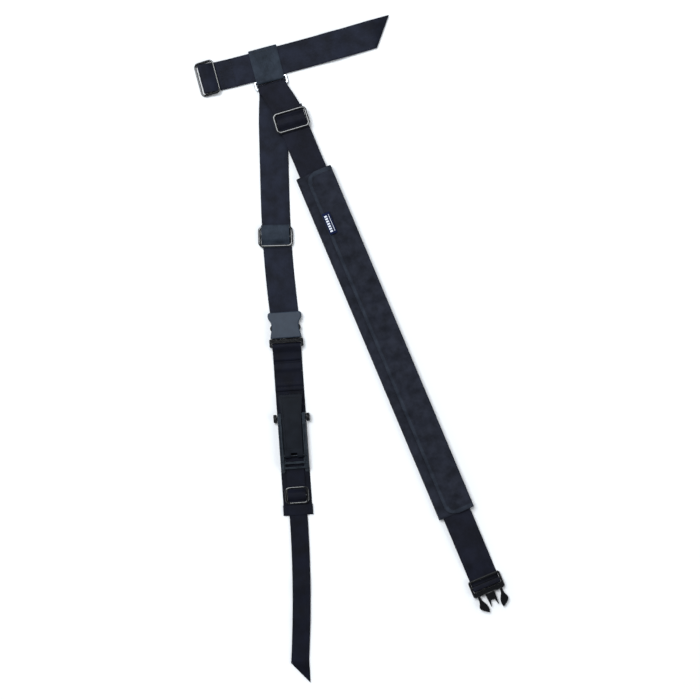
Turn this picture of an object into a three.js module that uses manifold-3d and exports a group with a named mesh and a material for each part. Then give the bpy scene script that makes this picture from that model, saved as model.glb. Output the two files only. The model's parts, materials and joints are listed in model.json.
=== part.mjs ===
// A webbing carrying harness: waist belt, ring, padded shoulder strap, and a second strap with a
// side-release buckle and a lever quick release. It lies flat on z = 0. Millimetres, +Z up.
// In every strap's own frame the strap runs towards -Y, X is across it, and z is the real height.
import * as THREE from 'three';
import Module from 'manifold-3d';
import { mergeVertices } from 'three/addons/utils/BufferGeometryUtils.js';

const wasm = await Module();
wasm.setup();

// Driving dimensions
const WEB = 40; // wide webbing
const WEB_T = 1.5;
const TAPE = 25; // narrow webbing
const TAPE_T = 1.2;
const GAP = 0.3; // between pieces that touch
const SIDE = 0.6; // from a webbing's edge to the slot it runs in
const BELT_ANGLE = 15;
const BELT_LEFT = 84; // from the keeper's middle to the belt slide's middle bar
const BELT_RIGHT = 178; // from the keeper's middle to the longer corner of the cut end
const BELT_CUT = 28; // how much longer one edge of the cut end is
const BELT_SLIDE_LEAN = 13;
const BELT_FOLD = 38; // sewn part of the belt behind its slide
const BELT_CURL_LEFT = 2000; // the larger, the straighter that side of the belt lies
const BELT_CURL_RIGHT = 5200;
const WIRE_R = 1.5; // ring wire
const RING_PITCH = 10; // between the ring's two long bars
const SHOULDER_ANGLE = 22.8;
const SHOULDER_SHIFT = 6.1; // sideways bend of the shoulder strap below the ring
const SHOULDER_BEND = 52;
const SHOULDER_GLIDE = 55; // from the ring to the shoulder slide
const SHOULDER_GLIDE_TURN = -6.5; // the slide lies a little askew on its strap
const SLEEVE_START = 133;
const SLEEVE_LENGTH = 512;
const SLEEVE_WIDTH = 52;
const PANEL_TOP = 13.6;
const PANEL_SHARE = 39; // width of the front panel, from the sleeve's hinged edge
const FLAP_WIDTH = 38; // width of the flap under it, from the sleeve's other edge
const LABEL_DOWN = 59; // from the sleeve's upper end
const LABEL_WIDE = 11;
const LABEL_LONG = 31;
const SHOULDER_LENGTH = 750; // from the ring to the open plug's bar
const SIDE_ANGLE = 1.5;
const SIDE_GLIDE = 209; // from the ring to the second strap's slide
const SIDE_GLIDE_SHIFT = -1.8; // the slide lies a little to one side
const SIDE_LENGTH = 319; // from the ring to the socket's bar
const SIDE_SHIFT = 8.9;
const SIDE_STRAIGHT = 150; // straight part of the second strap
const LOWER_ANGLE = 4;
const LOWER_LENGTH = 236;
const GLIDE_LENGTH = 29; // wide slide, along the strap
const GLIDE_T = 2.8;
const GLIDE_BAR = 3.6;
const GLIDE_CORNER = 6.5;
const GLIDE_EDGE = 0.9; // rounding of the slides' faces
const SMALL_GLIDE_LENGTH = 24;
const BAR_R = 1.8; // buckle bars
const BUCKLE = 47; // side-release buckle, across
const PLUG_LOW = -3.9; // plug body, from its bar's middle height
const PLUG_HIGH = 4.2;
const PLUG_FACE = 14.1; // open plug, bar to front face
const PLUG_TOP = 10.3; // open plug, bar to its outer edge
const SHORT_FACE = 9.7; // closed plug, bar to front face
const PRONG_REACH = 25.3;
const PRONG_HALF_T = 3;
const SOCKET_LENGTH = 36;
const SOCKET_EDGE = 5; // socket, bar to its outer edge
const SOCKET_SKIN = 1.8;
const FRAME_TOP = 94; // quick release, from the plug's bar
const FRAME_END = 171;
const FRAME_INSIDE = 29;
const FRAME_RAIL = 4.6;
const FRAME_HIGH = 12;
const LEVER_TOP = 68;
const LEVER_AXLE = 153;
const LEVER_WIDE = 33;
const LEVER_NARROW = 25;
const LEVER_T = 1.8;
const AXLE_R = 1.3;
const BARREL_R = 3;
const PIN_AT = 100.7;
const PIN_R = 1.5;
const KNOB_R = 5.8;
const KNOB_T = 4.5;
const TAIL_GLIDE = 208;
const BAND_START = 221.5;
const TAIL_START = 182;
const TAIL_END = 465;
const TAIL_CUT = 29;
const TAIL_BEND_R = 1667;

// Heights that follow from the sizes above
const RING_Z = WEB_T + GAP + WIRE_R;
const HOOK_R = WIRE_R + GAP + WEB_T / 2; // middle of the webbing round a ring bar
const OVER_R = HOOK_R + WEB_T + GAP;
const SHOULDER_Z = RING_Z + OVER_R; // middle of the shoulder webbing
const FLOOR_Z = WEB_T / 2;
const BELT_Z = WEB_T + GAP + WEB_T / 2;
const LOOP_R = BAR_R + GAP + WEB_T / 2; // middle of the webbing round a buckle bar
const PLUG_Z = LOOP_R + WEB_T / 2 + 1.2; // open plug's bar
const CAVITY = PRONG_HALF_T + 0.4;
const CLOSED_Z = 0.2 + SOCKET_SKIN + CAVITY; // closed plug's bar
const SOCKET_BAR_Z = LOOP_R + WEB_T / 2;
const PIN_Z = KNOB_R + GAP + 0.2;
const LEVER_Z = PIN_Z + PIN_R + 2 * GAP + TAPE_T; // underside of the lever plate
const AXLE_Z = LEVER_Z + LEVER_T - BARREL_R;

const rad = THREE.MathUtils.degToRad;
const origin = new THREE.Vector2(-118.8, 393.8); // middle of the keeper, from the middle of the page

const COLOURS = {
  webbing: [0x23262f, 0.9, 0],
  keeper: [0x333b44, 0.9, 0],
  fabric: [0x22272f, 0.85, 0],
  foam: [0x4b4f55, 1, 0],
  label: [0x0d1430, 0.7, 0],
  wire: [0x8f959b, 0.3, 1],
  metal: [0x7d838a, 0.35, 1],
  glide: [0x1b1d22, 0.3, 0],
  buckle: [0x30363f, 0.45, 0],
};

function add(parent, name, geometry, colour) {
  const [color, roughness, metalness] = COLOURS[colour];
  const mesh = new THREE.Mesh(geometry, new THREE.MeshStandardMaterial({ color, roughness, metalness }));
  mesh.name = name;
  parent.add(mesh);
}

function frame(parent, x, y, angle) {
  const group = new THREE.Group();
  group.position.set(x, y, 0);
  group.rotation.z = rad(angle);
  parent.add(group);
  return group;
}

// ---- joining and cutting ----
function toSolid(geometry) {
  const bare = geometry.clone();
  bare.deleteAttribute('normal');
  bare.deleteAttribute('uv');
  const merged = mergeVertices(bare, 1e-4);
  const vertProperties = new Float32Array(merged.attributes.position.array);
  const triVerts = new Uint32Array(merged.index.array);
  return new wasm.Manifold(new wasm.Mesh({ numProp: 3, vertProperties, triVerts }));
}

function fromSolid(solid) {
  const mesh = solid.getMesh();
  const geometry = new THREE.BufferGeometry();
  geometry.setAttribute('position', new THREE.BufferAttribute(mesh.vertProperties, 3));
  geometry.setIndex(new THREE.BufferAttribute(mesh.triVerts, 1));
  return geometry;
}

function build(first, joined, cut = []) {
  let solid = toSolid(first);
  for (const piece of joined) solid = solid.add(toSolid(piece));
  for (const piece of cut) solid = solid.subtract(toSolid(piece));
  return fromSolid(solid);
}

// ---- plain shapes ----
function block(x0, x1, y0, y1, z0, z1) {
  const box = new THREE.BoxGeometry(x1 - x0, y1 - y0, z1 - z0);
  return box.translate((x0 + x1) / 2, (y0 + y1) / 2, (z0 + z1) / 2);
}

function rod(radius, length, y, z, sides = 20, x = 0) {
  const cylinder = new THREE.CylinderGeometry(radius, radius, length, sides);
  return cylinder.rotateZ(Math.PI / 2).translate(x, y, z);
}

function post(radius, x, y, z0, z1, sides = 16) {
  const cylinder = new THREE.CylinderGeometry(radius, radius, z1 - z0, sides);
  return cylinder.rotateX(Math.PI / 2).translate(x, y, (z0 + z1) / 2);
}

function rounded(Kind, x0, x1, y0, y1, r) {
  const path = new Kind();
  path.moveTo(x0 + r, y0);
  path.lineTo(x1 - r, y0);
  path.absarc(x1 - r, y0 + r, r, -Math.PI / 2, 0);
  path.lineTo(x1, y1 - r);
  path.absarc(x1 - r, y1 - r, r, 0, Math.PI / 2);
  path.lineTo(x0 + r, y1);
  path.absarc(x0 + r, y1 - r, r, Math.PI / 2, Math.PI);
  path.lineTo(x0, y0 + r);
  path.absarc(x0 + r, y0 + r, r, Math.PI, Math.PI * 1.5);
  return path;
}

function plate(shape, z0, z1, edge = 0, curveSegments = 4, bevelSegments = 1) {
  const geometry = new THREE.ExtrudeGeometry(shape, {
    depth: z1 - z0 - 2 * edge,
    bevelEnabled: edge > 0,
    bevelSize: edge,
    bevelThickness: edge,
    bevelOffset: -edge,
    bevelSegments,
    curveSegments,
  });
  return geometry.translate(0, 0, z0 + edge);
}

// ---- webbing: a route in (along, height) given a thickness and a width ----
function arc(y, z, r, from, to, steps) {
  const points = [];
  for (let i = 0; i <= steps; i += 1) {
    const a = rad(from + ((to - from) * i) / steps);
    points.push([y + r * Math.cos(a), z + r * Math.sin(a)]);
  }
  return points;
}

// A straight stretch in even steps, so that it can bend sideways; its first end is left out.
function run(from, to, step) {
  const count = Math.ceil(Math.abs(to[0] - from[0]) / step);
  const points = [];
  for (let i = 1; i <= count; i += 1) {
    const f = i / count;
    points.push([from[0] + (to[0] - from[0]) * f, from[1] + (to[1] - from[1]) * f]);
  }
  return points;
}

function beside(route, distance, closed) {
  const count = route.length;
  return route.map((p, i) => {
    const before = route[closed ? (i + count - 1) % count : Math.max(i - 1, 0)];
    const after = route[closed ? (i + 1) % count : Math.min(i + 1, count - 1)];
    const here = new THREE.Vector2(...p);
    const a = new THREE.Vector2(...before);
    const b = new THREE.Vector2(...after);
    const into = a.equals(here) ? b.clone().sub(here) : here.clone().sub(a);
    const out = b.equals(here) ? into.clone() : b.clone().sub(here);
    const n1 = new THREE.Vector2(-into.y, into.x).normalize();
    const n2 = new THREE.Vector2(-out.y, out.x).normalize();
    const middle = n1.clone().add(n2).normalize();
    return here.add(middle.multiplyScalar(distance / middle.dot(n1)));
  });
}

// The strip is a box with one row of faces per stretch, so it stays even where the strap bends.
function webbing(route, width, thick, warp = (x, y) => [x, y]) {
  const rows = route.length - 1;
  const sides = { 1: beside(route, thick / 2, false), '-1': beside(route, -thick / 2, false) };
  const strip = new THREE.BoxGeometry(width, rows, 1, 1, rows, 1);
  const position = strip.attributes.position;
  for (let i = 0; i < position.count; i += 1) {
    const row = Math.round(position.getY(i) + rows / 2);
    const point = sides[Math.sign(position.getZ(i))][row];
    const [x, y] = warp(position.getX(i), point.x);
    position.setXYZ(i, x, y, point.y);
  }
  return strip;
}

function closedLoop(route, width, thick) {
  const shape = new THREE.Shape(beside(route, -thick / 2, true));
  shape.holes.push(new THREE.Path(beside(route, thick / 2, true)));
  const band = new THREE.ExtrudeGeometry(shape, { depth: width, bevelEnabled: false });
  return band.translate(0, 0, -width / 2).rotateY(Math.PI / 2).rotateX(Math.PI / 2);
}

// ---- hardware that repeats ----
function glide(slot, length, thick, bar, z, y = 0) {
  const half = slot / 2 + GLIDE_BAR;
  const [bottom, top] = [y - length / 2, y + length / 2];
  const shape = rounded(THREE.Shape, -half, half, bottom, top, GLIDE_CORNER);
  const open = (length - 3 * bar) / 2;
  for (const s of [-1, 1]) {
    const middle = y + (s * (bar + open)) / 2;
    shape.holes.push(
      rounded(THREE.Path, -slot / 2, slot / 2, middle - open / 2, middle + open / 2, 1.2),
    );
  }
  return plate(shape, z, z + thick, GLIDE_EDGE, 4, 3);
}

// The webbing that comes up under a slide's first bar, over its middle bar and down under the last.
function wave(y, half, low, high, bar) {
  return [
    [y + half + 4, low],
    [y + half - bar - 1, low],
    [y + bar / 2 + 0.8, high],
    [y - bar / 2 - 0.8, high],
    [y - half + bar + 1, low],
    [y - half - 4, low],
  ];
}

// A sprung prong of the plug, seen from its pivot, for the +X side; distances along -Y are from the face.
function prong(side, face, z) {
  const shape = new THREE.Shape();
  shape.moveTo(side * 14.9, -face - GAP);
  shape.splineThru([
    new THREE.Vector2(side * 13.8, -face - 6.5),
    new THREE.Vector2(side * 11.2, -face - 11.5),
    new THREE.Vector2(side * 9.3, -face - 16.5),
    new THREE.Vector2(side * 9.2, -face - 22),
    new THREE.Vector2(side * 10.4, -face - PRONG_REACH),
  ]);
  shape.splineThru([
    new THREE.Vector2(side * 16, -face - 21.8),
    new THREE.Vector2(side * 20.2, -face - 17.8),
    new THREE.Vector2(side * 21.2, -face - 14),
    new THREE.Vector2(side * 19, -face - 9),
    new THREE.Vector2(side * 18.4, -face - 5),
    new THREE.Vector2(side * 18.4, -face - GAP),
  ]);
  return plate(shape, z - PRONG_HALF_T, z + PRONG_HALF_T, 0, 2);
}

function guide(face, z) {
  const shape = new THREE.Shape();
  shape.moveTo(-7, -face + 1);
  shape.lineTo(-6.6, -face - 6);
  shape.lineTo(-5.6, -face - 19);
  shape.lineTo(-4.9, -face - 19);
  shape.lineTo(-2.6, -face - 10.5);
  shape.lineTo(2.6, -face - 10.5);
  shape.lineTo(4.9, -face - 19);
  shape.lineTo(5.6, -face - 19);
  shape.lineTo(6.6, -face - 6);
  shape.lineTo(7, -face + 1);
  return plate(shape, z - 1.5, z + 1.5);
}

const inside = WEB / 2 + SIDE;

function openPlug(z) {
  const outline = rounded(THREE.Shape, -BUCKLE / 2, BUCKLE / 2, -PLUG_FACE, PLUG_TOP, 3.5);
  const body = plate(outline, z + PLUG_LOW, z + PLUG_HIGH, 1, 3);
  const reach = LOOP_R + WEB_T / 2 + 3.7;
  const window = block(-inside, inside, -reach, reach, z - 9, z + 9);
  const under = block(-inside, inside, reach - 1, PLUG_TOP + 9, z - 9, z + 0.9);
  return build(build(body, [guide(PLUG_FACE, z)], [window, under]), [rod(BAR_R, BUCKLE - 2, 0, z)]);
}

function shortPlug(z) {
  const outline = rounded(THREE.Shape, -BUCKLE / 2, BUCKLE / 2, -SHORT_FACE, 2.4, 2);
  const body = plate(outline, z + PLUG_LOW, z + PLUG_HIGH, 1, 3);
  const reach = LOOP_R + WEB_T / 2 + 0.6;
  const window = block(-inside, inside, -reach, 9, z - 9, z + 9);
  return build(build(body, [guide(SHORT_FACE, z)], [window]), [rod(BAR_R, BUCKLE - 2, 0, z)]);
}

function socket() {
  const mouth = SOCKET_EDGE - SOCKET_LENGTH;
  const waist = mouth + 17;
  const half = BUCKLE / 2;
  const right = [
    [half - 4.5, mouth + 0.0],
    [half - 2, mouth],
    [half - 2.3, mouth + 4],
    [half - 4.6, waist - 5],
    [half - 4.8, waist],
    [half - 4, waist + 5],
    [half - 0.6, waist + 10.5],
    [half, waist + 14],
    [half - 0.6, SOCKET_EDGE - 1.4],
    [half - 2.6, SOCKET_EDGE],
  ];
  const left = right.map(([x, y]) => [-x, y]).reverse();
  const points = [...right, ...left].map((p) => new THREE.Vector2(...p));
  const low = CLOSED_Z - CAVITY - SOCKET_SKIN;
  const high = CLOSED_Z + CAVITY + SOCKET_SKIN;
  const body = plate(new THREE.Shape(points), low, high, 1.2);
  const wide = half - 4.5;
  const cavity = block(-wide, wide, mouth - 9, waist + 4, CLOSED_Z - CAVITY, CLOSED_Z + CAVITY);
  const nose = block(-16, 16, waist, -4.9 - BAR_R + 1.2, CLOSED_Z - CAVITY, CLOSED_Z + CAVITY);
  const cuts = [cavity, nose];
  for (const s of [-1, 1]) {
    cuts.push(
      block(s * 19 - 5.5, s * 19 + 5.5, waist - 9.5, waist + 6, CLOSED_Z - CAVITY, CLOSED_Z + CAVITY),
    );
  }
  const top = SOCKET_BAR_Z + LOOP_R + WEB_T / 2 + GAP;
  cuts.push(block(-inside, inside, -LOOP_R - 1.2, SOCKET_EDGE + 9, low - 9, top));
  return build(build(body, [], cuts), [rod(BAR_R, BUCKLE - 3, 0, SOCKET_BAR_Z)]);
}

// ---- waist belt ----
function belt(parent) {
  const group = frame(parent, origin.x, origin.y, BELT_ANGLE + 90);
  const bend = (along) => {
    const left = Math.max(along - 30, 0);
    const right = Math.max(-along - 60, 0);
    return left ** 2 / BELT_CURL_LEFT + right ** 2 / BELT_CURL_RIGHT;
  };
  const tip = BELT_RIGHT - BELT_CUT;
  const cut = (x, y) => (y < -tip ? (BELT_CUT * (x / WEB + 0.5) * (-tip - y)) / 4 : 0);
  const warp = (x, y) => [x + bend(y), y - cut(x, y)];
  const centre = RING_Z + 1.3;
  const route = [
    [BELT_LEFT - BELT_FOLD, FLOOR_Z],
    ...run([BELT_LEFT - BELT_FOLD, FLOOR_Z], [BELT_LEFT - 6, FLOOR_Z], 16),
    ...arc(BELT_LEFT, centre, HOOK_R, -90, 90, 8),
    ...run([BELT_LEFT, centre + HOOK_R], [BELT_LEFT - 11, BELT_Z], 11),
    ...run([BELT_LEFT - 11, BELT_Z], [30, BELT_Z], 12),
    ...run([30, BELT_Z], [-60, BELT_Z], 45),
    ...run([-60, BELT_Z], [-tip, BELT_Z], 16),
    [-tip - 4, BELT_Z],
  ];
  add(group, 'belt_webbing', webbing(route, WEB, WEB_T, warp), 'webbing');
  const tilt = frame(group, bend(BELT_LEFT), BELT_LEFT, 0);
  tilt.position.z = centre;
  tilt.rotation.x = rad(-BELT_SLIDE_LEAN);
  const slot = WEB + 2 * SIDE;
  add(tilt, 'belt_tri_glide', glide(slot, GLIDE_LENGTH, GLIDE_T, 2.6, -GLIDE_T / 2), 'glide');
}

// ---- keeper and ring: their frame has Y up the page and X along the belt ----
const RING_UP = -(WEB / 2 + GAP + WIRE_R); // the ring's upper bar, from the belt's middle
const RING_LOW = RING_UP - RING_PITCH;

function keeperAndRing(parent) {
  const group = frame(parent, origin.x, origin.y, BELT_ANGLE);
  const front = BELT_Z + WEB_T + GAP;
  const middle = (front + FLOOR_Z) / 2;
  const route = [
    ...arc(WEB / 2 + 0.5, middle, middle - FLOOR_Z, -90, 90, 6),
    [RING_UP + 9, front],
    ...arc(RING_UP, RING_Z, HOOK_R, 90, 270, 8),
  ];
  add(group, 'keeper_loop', closedLoop(route, WEB, WEB_T), 'keeper');
  const half = WEB / 2 + SIDE;
  const wire = 2 * WIRE_R;
  const low = RING_LOW - WIRE_R;
  const high = RING_UP + WIRE_R;
  const shape = rounded(THREE.Shape, -half - wire, half + wire, low, high, 2.6);
  shape.holes.push(rounded(THREE.Path, -half, half, low + wire, high - wire, 0.9));
  add(group, 'strap_ring', plate(shape, RING_Z - WIRE_R, RING_Z + WIRE_R, 0.8, 3), 'wire');
}

const ringLow = new THREE.Vector2(0, RING_LOW).rotateAround(new THREE.Vector2(), rad(BELT_ANGLE));
ringLow.add(origin);

function fade(along, length) {
  return Math.max(0, 1 - Math.abs(along) / length);
}

// Turns a strap's end loop round the bar that it hangs on; the turn fades out along the strap.
function turned(x, y, angle, length) {
  const a = rad(angle) * fade(Math.max(-y - 6, 0), length);
  return [x * Math.cos(a) - Math.max(Math.min(y, 6), -6) * Math.sin(a), y + x * Math.sin(a)];
}

// ---- shoulder strap ----
function shoulder(parent) {
  const group = frame(parent, ringLow.x, ringLow.y, SHOULDER_ANGLE);
  const warp = (x, y) => {
    const [across, along] = turned(x, y, BELT_ANGLE - SHOULDER_ANGLE, 36);
    return [across + SHOULDER_SHIFT * (1 - fade(Math.min(y, 0), SHOULDER_BEND) ** 2), along];
  };
  const end = -SHOULDER_LENGTH;
  const hook = PLUG_Z - LOOP_R;
  const route = [
    ...arc(0, RING_Z, OVER_R, 20, 90, 5),
    ...run([0, SHOULDER_Z], [-SHOULDER_BEND, SHOULDER_Z], 9),
    [end + 60, SHOULDER_Z],
    [end + 14, hook],
    ...arc(end, PLUG_Z, LOOP_R, 270, 80, 9),
  ];
  add(group, 'right_strap', webbing(route, WEB, WEB_T, warp), 'webbing');
  const line = frame(group, SHOULDER_SHIFT, 0, 0);
  const low = SHOULDER_Z + WEB_T + GAP;
  const askew = frame(line, 0, -SHOULDER_GLIDE, SHOULDER_GLIDE_TURN);
  const seat = low + WEB_T / 2 + GAP;
  const over = seat + GLIDE_T + GAP + WEB_T / 2;
  const hump = wave(0, GLIDE_LENGTH / 2, low, over, GLIDE_BAR);
  slide(askew, 'right', seat, hump);
  sleeve(line);
  const plug = frame(line, 0, end, 0);
  add(plug, 'right_plug', openPlug(PLUG_Z), 'buckle');
  add(plug, 'right_plug_prong_l', prong(-1, PLUG_FACE, PLUG_Z), 'buckle');
  add(plug, 'right_plug_prong_r', prong(1, PLUG_FACE, PLUG_Z), 'buckle');
}

function slide(parent, name, seat, route) {
  const body = glide(WEB + 2 * SIDE, GLIDE_LENGTH, GLIDE_T, GLIDE_BAR - 0.4, seat);
  add(parent, `${name}_tri_glide`, body, 'glide');
  add(parent, `${name}_glide_loop`, webbing(route, WEB, WEB_T), 'webbing');
}

// ---- padded wrap sleeve ----
function sleeve(parent) {
  const half = SLEEVE_WIDTH / 2;
  const top = -SLEEVE_START;
  const end = top - SLEEVE_LENGTH;
  const floor = SHOULDER_Z - WEB_T / 2 - 0.4; // under the strap
  const roof = SHOULDER_Z + WEB_T / 2 + 0.4; // over the strap
  const skin = 1.2;
  const tape = 0.8;
  const tapeUp = roof + skin + tape + GAP;
  const panelLow = tapeUp + tape + GAP;
  const flapEdge = FLAP_WIDTH - half;
  const edge = half - PANEL_SHARE; // free edge of the front panel
  const outline = new THREE.Shape();
  outline.moveTo(-half + 3, 0);
  outline.lineTo(half - 3, 0);
  outline.absarc(half - 3, 3, 3, -Math.PI / 2, 0);
  outline.lineTo(half, panelLow - GAP);
  outline.lineTo(inside + 0.4, panelLow - GAP);
  outline.lineTo(inside + 0.4, floor);
  outline.lineTo(-inside - 0.4, floor);
  outline.lineTo(-inside - 0.4, roof);
  outline.lineTo(flapEdge, roof);
  outline.lineTo(flapEdge, roof + skin);
  outline.lineTo(-half + 3, roof + skin);
  outline.absarc(-half + 3, roof + skin - 3, 3, Math.PI / 2, Math.PI);
  outline.lineTo(-half, 3);
  outline.absarc(-half + 3, 3, 3, Math.PI, Math.PI * 1.5);
  const long = new THREE.ExtrudeGeometry(outline, {
    depth: SLEEVE_LENGTH,
    bevelEnabled: false,
    curveSegments: 3,
  });
  long.rotateX(Math.PI / 2).translate(0, top, 0);
  const foamHalf = half - 4;
  const pocket = block(-foamHalf, foamHalf, end - 9, top - 6, skin, floor - skin);
  add(parent, 'sleeve_body', build(long, [], [pocket]), 'fabric');
  const foam = [-foamHalf + GAP, foamHalf - GAP, end + 2, top - 6 - GAP];
  add(parent, 'sleeve_foam', block(...foam, skin + GAP, floor - skin - GAP), 'foam');
  const r = 12;
  const front = new THREE.Shape();
  front.moveTo(half, end);
  front.lineTo(half, top);
  front.lineTo(edge + r, top);
  front.absarc(edge + r, top - r, r, Math.PI / 2, Math.PI);
  front.lineTo(edge, end + r);
  front.absarc(edge + r, end + r, r, Math.PI, Math.PI * 1.5);
  add(parent, 'sleeve_panel', plate(front, panelLow, PANEL_TOP, 0.5, 5), 'fabric');
  const tapeArea = [edge + 3, flapEdge - 2, end + 20, top - 20];
  add(parent, 'sleeve_loop_tape', block(...tapeArea, roof + skin + GAP / 2, tapeUp - GAP), 'keeper');
  add(parent, 'sleeve_hook_tape', block(...tapeArea, tapeUp, tapeUp + tape), 'keeper');
  const labelTop = top - LABEL_DOWN;
  const labelArea = [edge + 1, edge + 1 + LABEL_WIDE, labelTop - LABEL_LONG, labelTop];
  const labelLow = PANEL_TOP + GAP / 2;
  add(parent, 'sleeve_label', block(...labelArea, labelLow, labelLow + 0.5), 'label');
}

// ---- second strap, down to the closed buckle ----
function sideStrap(parent) {
  const group = frame(parent, ringLow.x, ringLow.y, SIDE_ANGLE);
  const endTurn = Math.tan(rad(LOWER_ANGLE - SIDE_ANGLE));
  const bend = (y) => {
    const past = Math.max(-y - SIDE_STRAIGHT, 0);
    return SIDE_SHIFT * (past / (SIDE_LENGTH - SIDE_STRAIGHT)) ** 2;
  };
  const warp = (x, y) => {
    const [across, along] = turned(x, y, BELT_ANGLE - SIDE_ANGLE, 44);
    return [across + bend(y), along + endTurn * x * fade(y + SIDE_LENGTH, 30)];
  };
  const end = -SIDE_LENGTH;
  const route = [
    [-9, RING_Z + HOOK_R],
    ...arc(0, RING_Z, HOOK_R, 90, -90, 8),
    ...run([0, FLOOR_Z], [-45, FLOOR_Z], 9),
    ...run([-45, FLOOR_Z], [-SIDE_STRAIGHT, FLOOR_Z], 110),
    ...run([-SIDE_STRAIGHT, FLOOR_Z], [end + 9, FLOOR_Z], 18),
    ...arc(end, SOCKET_BAR_Z, LOOP_R, 270, 80, 9),
  ];
  add(group, 'left_strap', webbing(route, WEB, WEB_T, warp), 'webbing');
  const line = frame(group, bend(-SIDE_GLIDE) + SIDE_GLIDE_SHIFT, -SIDE_GLIDE, 0);
  const low = FLOOR_Z + WEB_T + GAP;
  const seat = low + WEB_T / 2 + GAP;
  const over = seat + GLIDE_T + GAP + WEB_T / 2;
  const half = GLIDE_LENGTH / 2;
  // This slide's upper bar is inside the strap's end fold, and the strap dives under its lower bar.
  const fold = [
    [4, low],
    ...arc(half - GLIDE_T / 2, (low + over) / 2, (over - low) / 2, -90, 90, 8),
    [-GLIDE_BAR / 2 - 0.8, over],
    [-half + GLIDE_BAR + 1, low],
    [-half - 3, low],
  ];
  slide(line, 'left', seat, fold);
  const place = new THREE.Vector2(bend(end), end).rotateAround(new THREE.Vector2(), rad(SIDE_ANGLE));
  return place.add(ringLow);
}

// ---- closed buckle and the quick release under it ----
function lowerStrap(parent, place) {
  const buckle = frame(parent, place.x, place.y, LOWER_ANGLE);
  add(buckle, 'left_socket', socket(), 'buckle');
  const face = SOCKET_EDGE - SOCKET_LENGTH - 0.6;
  const bar = face - SHORT_FACE;
  const plug = frame(buckle, 0, bar, 180);
  add(plug, 'left_plug', shortPlug(CLOSED_Z), 'buckle');
  add(plug, 'left_plug_prong_l', prong(1, SHORT_FACE, CLOSED_Z), 'buckle');
  add(plug, 'left_plug_prong_r', prong(-1, SHORT_FACE, CLOSED_Z), 'buckle');
  const group = frame(buckle, 0, bar, 0);
  const fold = FLOOR_Z + WEB_T + GAP;
  const route = [
    [-21, fold],
    [-15, fold],
    ...arc(0, CLOSED_Z, LOOP_R, 90, -90, 8),
    [-15, FLOOR_Z],
    [-LOWER_LENGTH, FLOOR_Z],
  ];
  add(group, 'lower_strap', webbing(route, WEB, WEB_T), 'webbing');
  const layer = [-WEB / 2 + 1, WEB / 2 - 1];
  add(group, 'stitched_band', block(...layer, -63, -24, WEB_T + GAP, 2 * WEB_T + GAP), 'webbing');
  quickRelease(group);
  tail(group);
}

function quickRelease(group) {
  const half = FRAME_INSIDE / 2;
  const outer = half + FRAME_RAIL;
  const low = WEB_T + GAP;
  const base = low + 1;
  const crossAt = -LEVER_AXLE - BARREL_R - 5;
  const rails = [];
  const cuts = [];
  for (const s of [-1, 1]) {
    const x = s * (half + FRAME_RAIL / 2);
    const r = FRAME_RAIL / 2;
    rails.push(block(x - r, x + r, -FRAME_END, -FRAME_TOP, low, FRAME_HIGH));
    cuts.push(block(x - 1, x + 1, -FRAME_END + 8, -FRAME_TOP - 16, FRAME_HIGH - 2.5, FRAME_HIGH + 9));
    rails.push(post(3.2, x, -FRAME_END - 2.6, low, base + 1.4));
    cuts.push(post(1.4, x, -FRAME_END - 2.6, -9, base + 9));
  }
  cuts.push(rod(PIN_R + GAP, 99, -PIN_AT, PIN_Z, 16));
  cuts.push(rod(AXLE_R + GAP, 99, -LEVER_AXLE, AXLE_Z, 16));
  const floorPlate = block(-outer, outer, -FRAME_END, -FRAME_TOP, low, base);
  const cross = block(-outer, outer, crossAt - 3, crossAt, AXLE_Z - 1.5, FRAME_HIGH - 1);
  const second = block(-outer, outer, -FRAME_END, -FRAME_END + 2.6, AXLE_Z - 1.5, AXLE_Z + 1.2);
  add(group, 'release_frame', build(floorPlate, [...rails, cross, second], cuts), 'metal');
  lever(group);
  add(group, 'lever_axle', rod(AXLE_R, 2 * outer - 1, -LEVER_AXLE, AXLE_Z, 16), 'metal');
  add(group, 'lever_spring', spring(-LEVER_AXLE, AXLE_Z), 'metal');
  const pinLength = WEB + 2 * GAP;
  add(group, 'load_pin', rod(PIN_R, pinLength, -PIN_AT, PIN_Z, 16), 'metal');
  for (const [name, s] of [['l', -1], ['r', 1]]) {
    const x = s * (pinLength / 2 + GAP + KNOB_T / 2);
    add(group, `pin_knob_${name}`, rod(KNOB_R, KNOB_T, -PIN_AT, PIN_Z, 20, x), 'glide');
    const railX = s * (half + FRAME_RAIL / 2);
    const rivet = post(1.4 - GAP, railX, -FRAME_END - 2.6, low + 0.1, base + 1.8, 12);
    const head = post(2.2, railX, -FRAME_END - 2.6, base + 1.4 + GAP, base + 2.6, 12);
    add(group, `frame_rivet_${name}`, build(rivet, [head]), 'metal');
  }
  const loop = PIN_R + GAP + TAPE_T / 2;
  const at = -TAIL_GLIDE;
  const flat = WEB_T + GAP + TAPE_T + GAP + TAPE_T / 2;
  const glideZ = flat + TAPE_T / 2 + GAP;
  const over = glideZ + 2.4 + GAP + TAPE_T / 2;
  const route = [
    ...arc(-PIN_AT, PIN_Z, loop, -60, 270, 14),
    [-PIN_AT - 12, flat],
    ...wave(at, SMALL_GLIDE_LENGTH / 2, flat, over, 3.2).slice(1, 5),
    [at - SMALL_GLIDE_LENGTH / 2 - 1, flat],
  ];
  add(group, 'anchor_loop', webbing(route, TAPE, TAPE_T), 'webbing');
  const small = glide(TAPE + 1, SMALL_GLIDE_LENGTH, 2.4, 2.6, glideZ, at);
  add(group, 'tail_tri_glide', small, 'glide');
}

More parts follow.
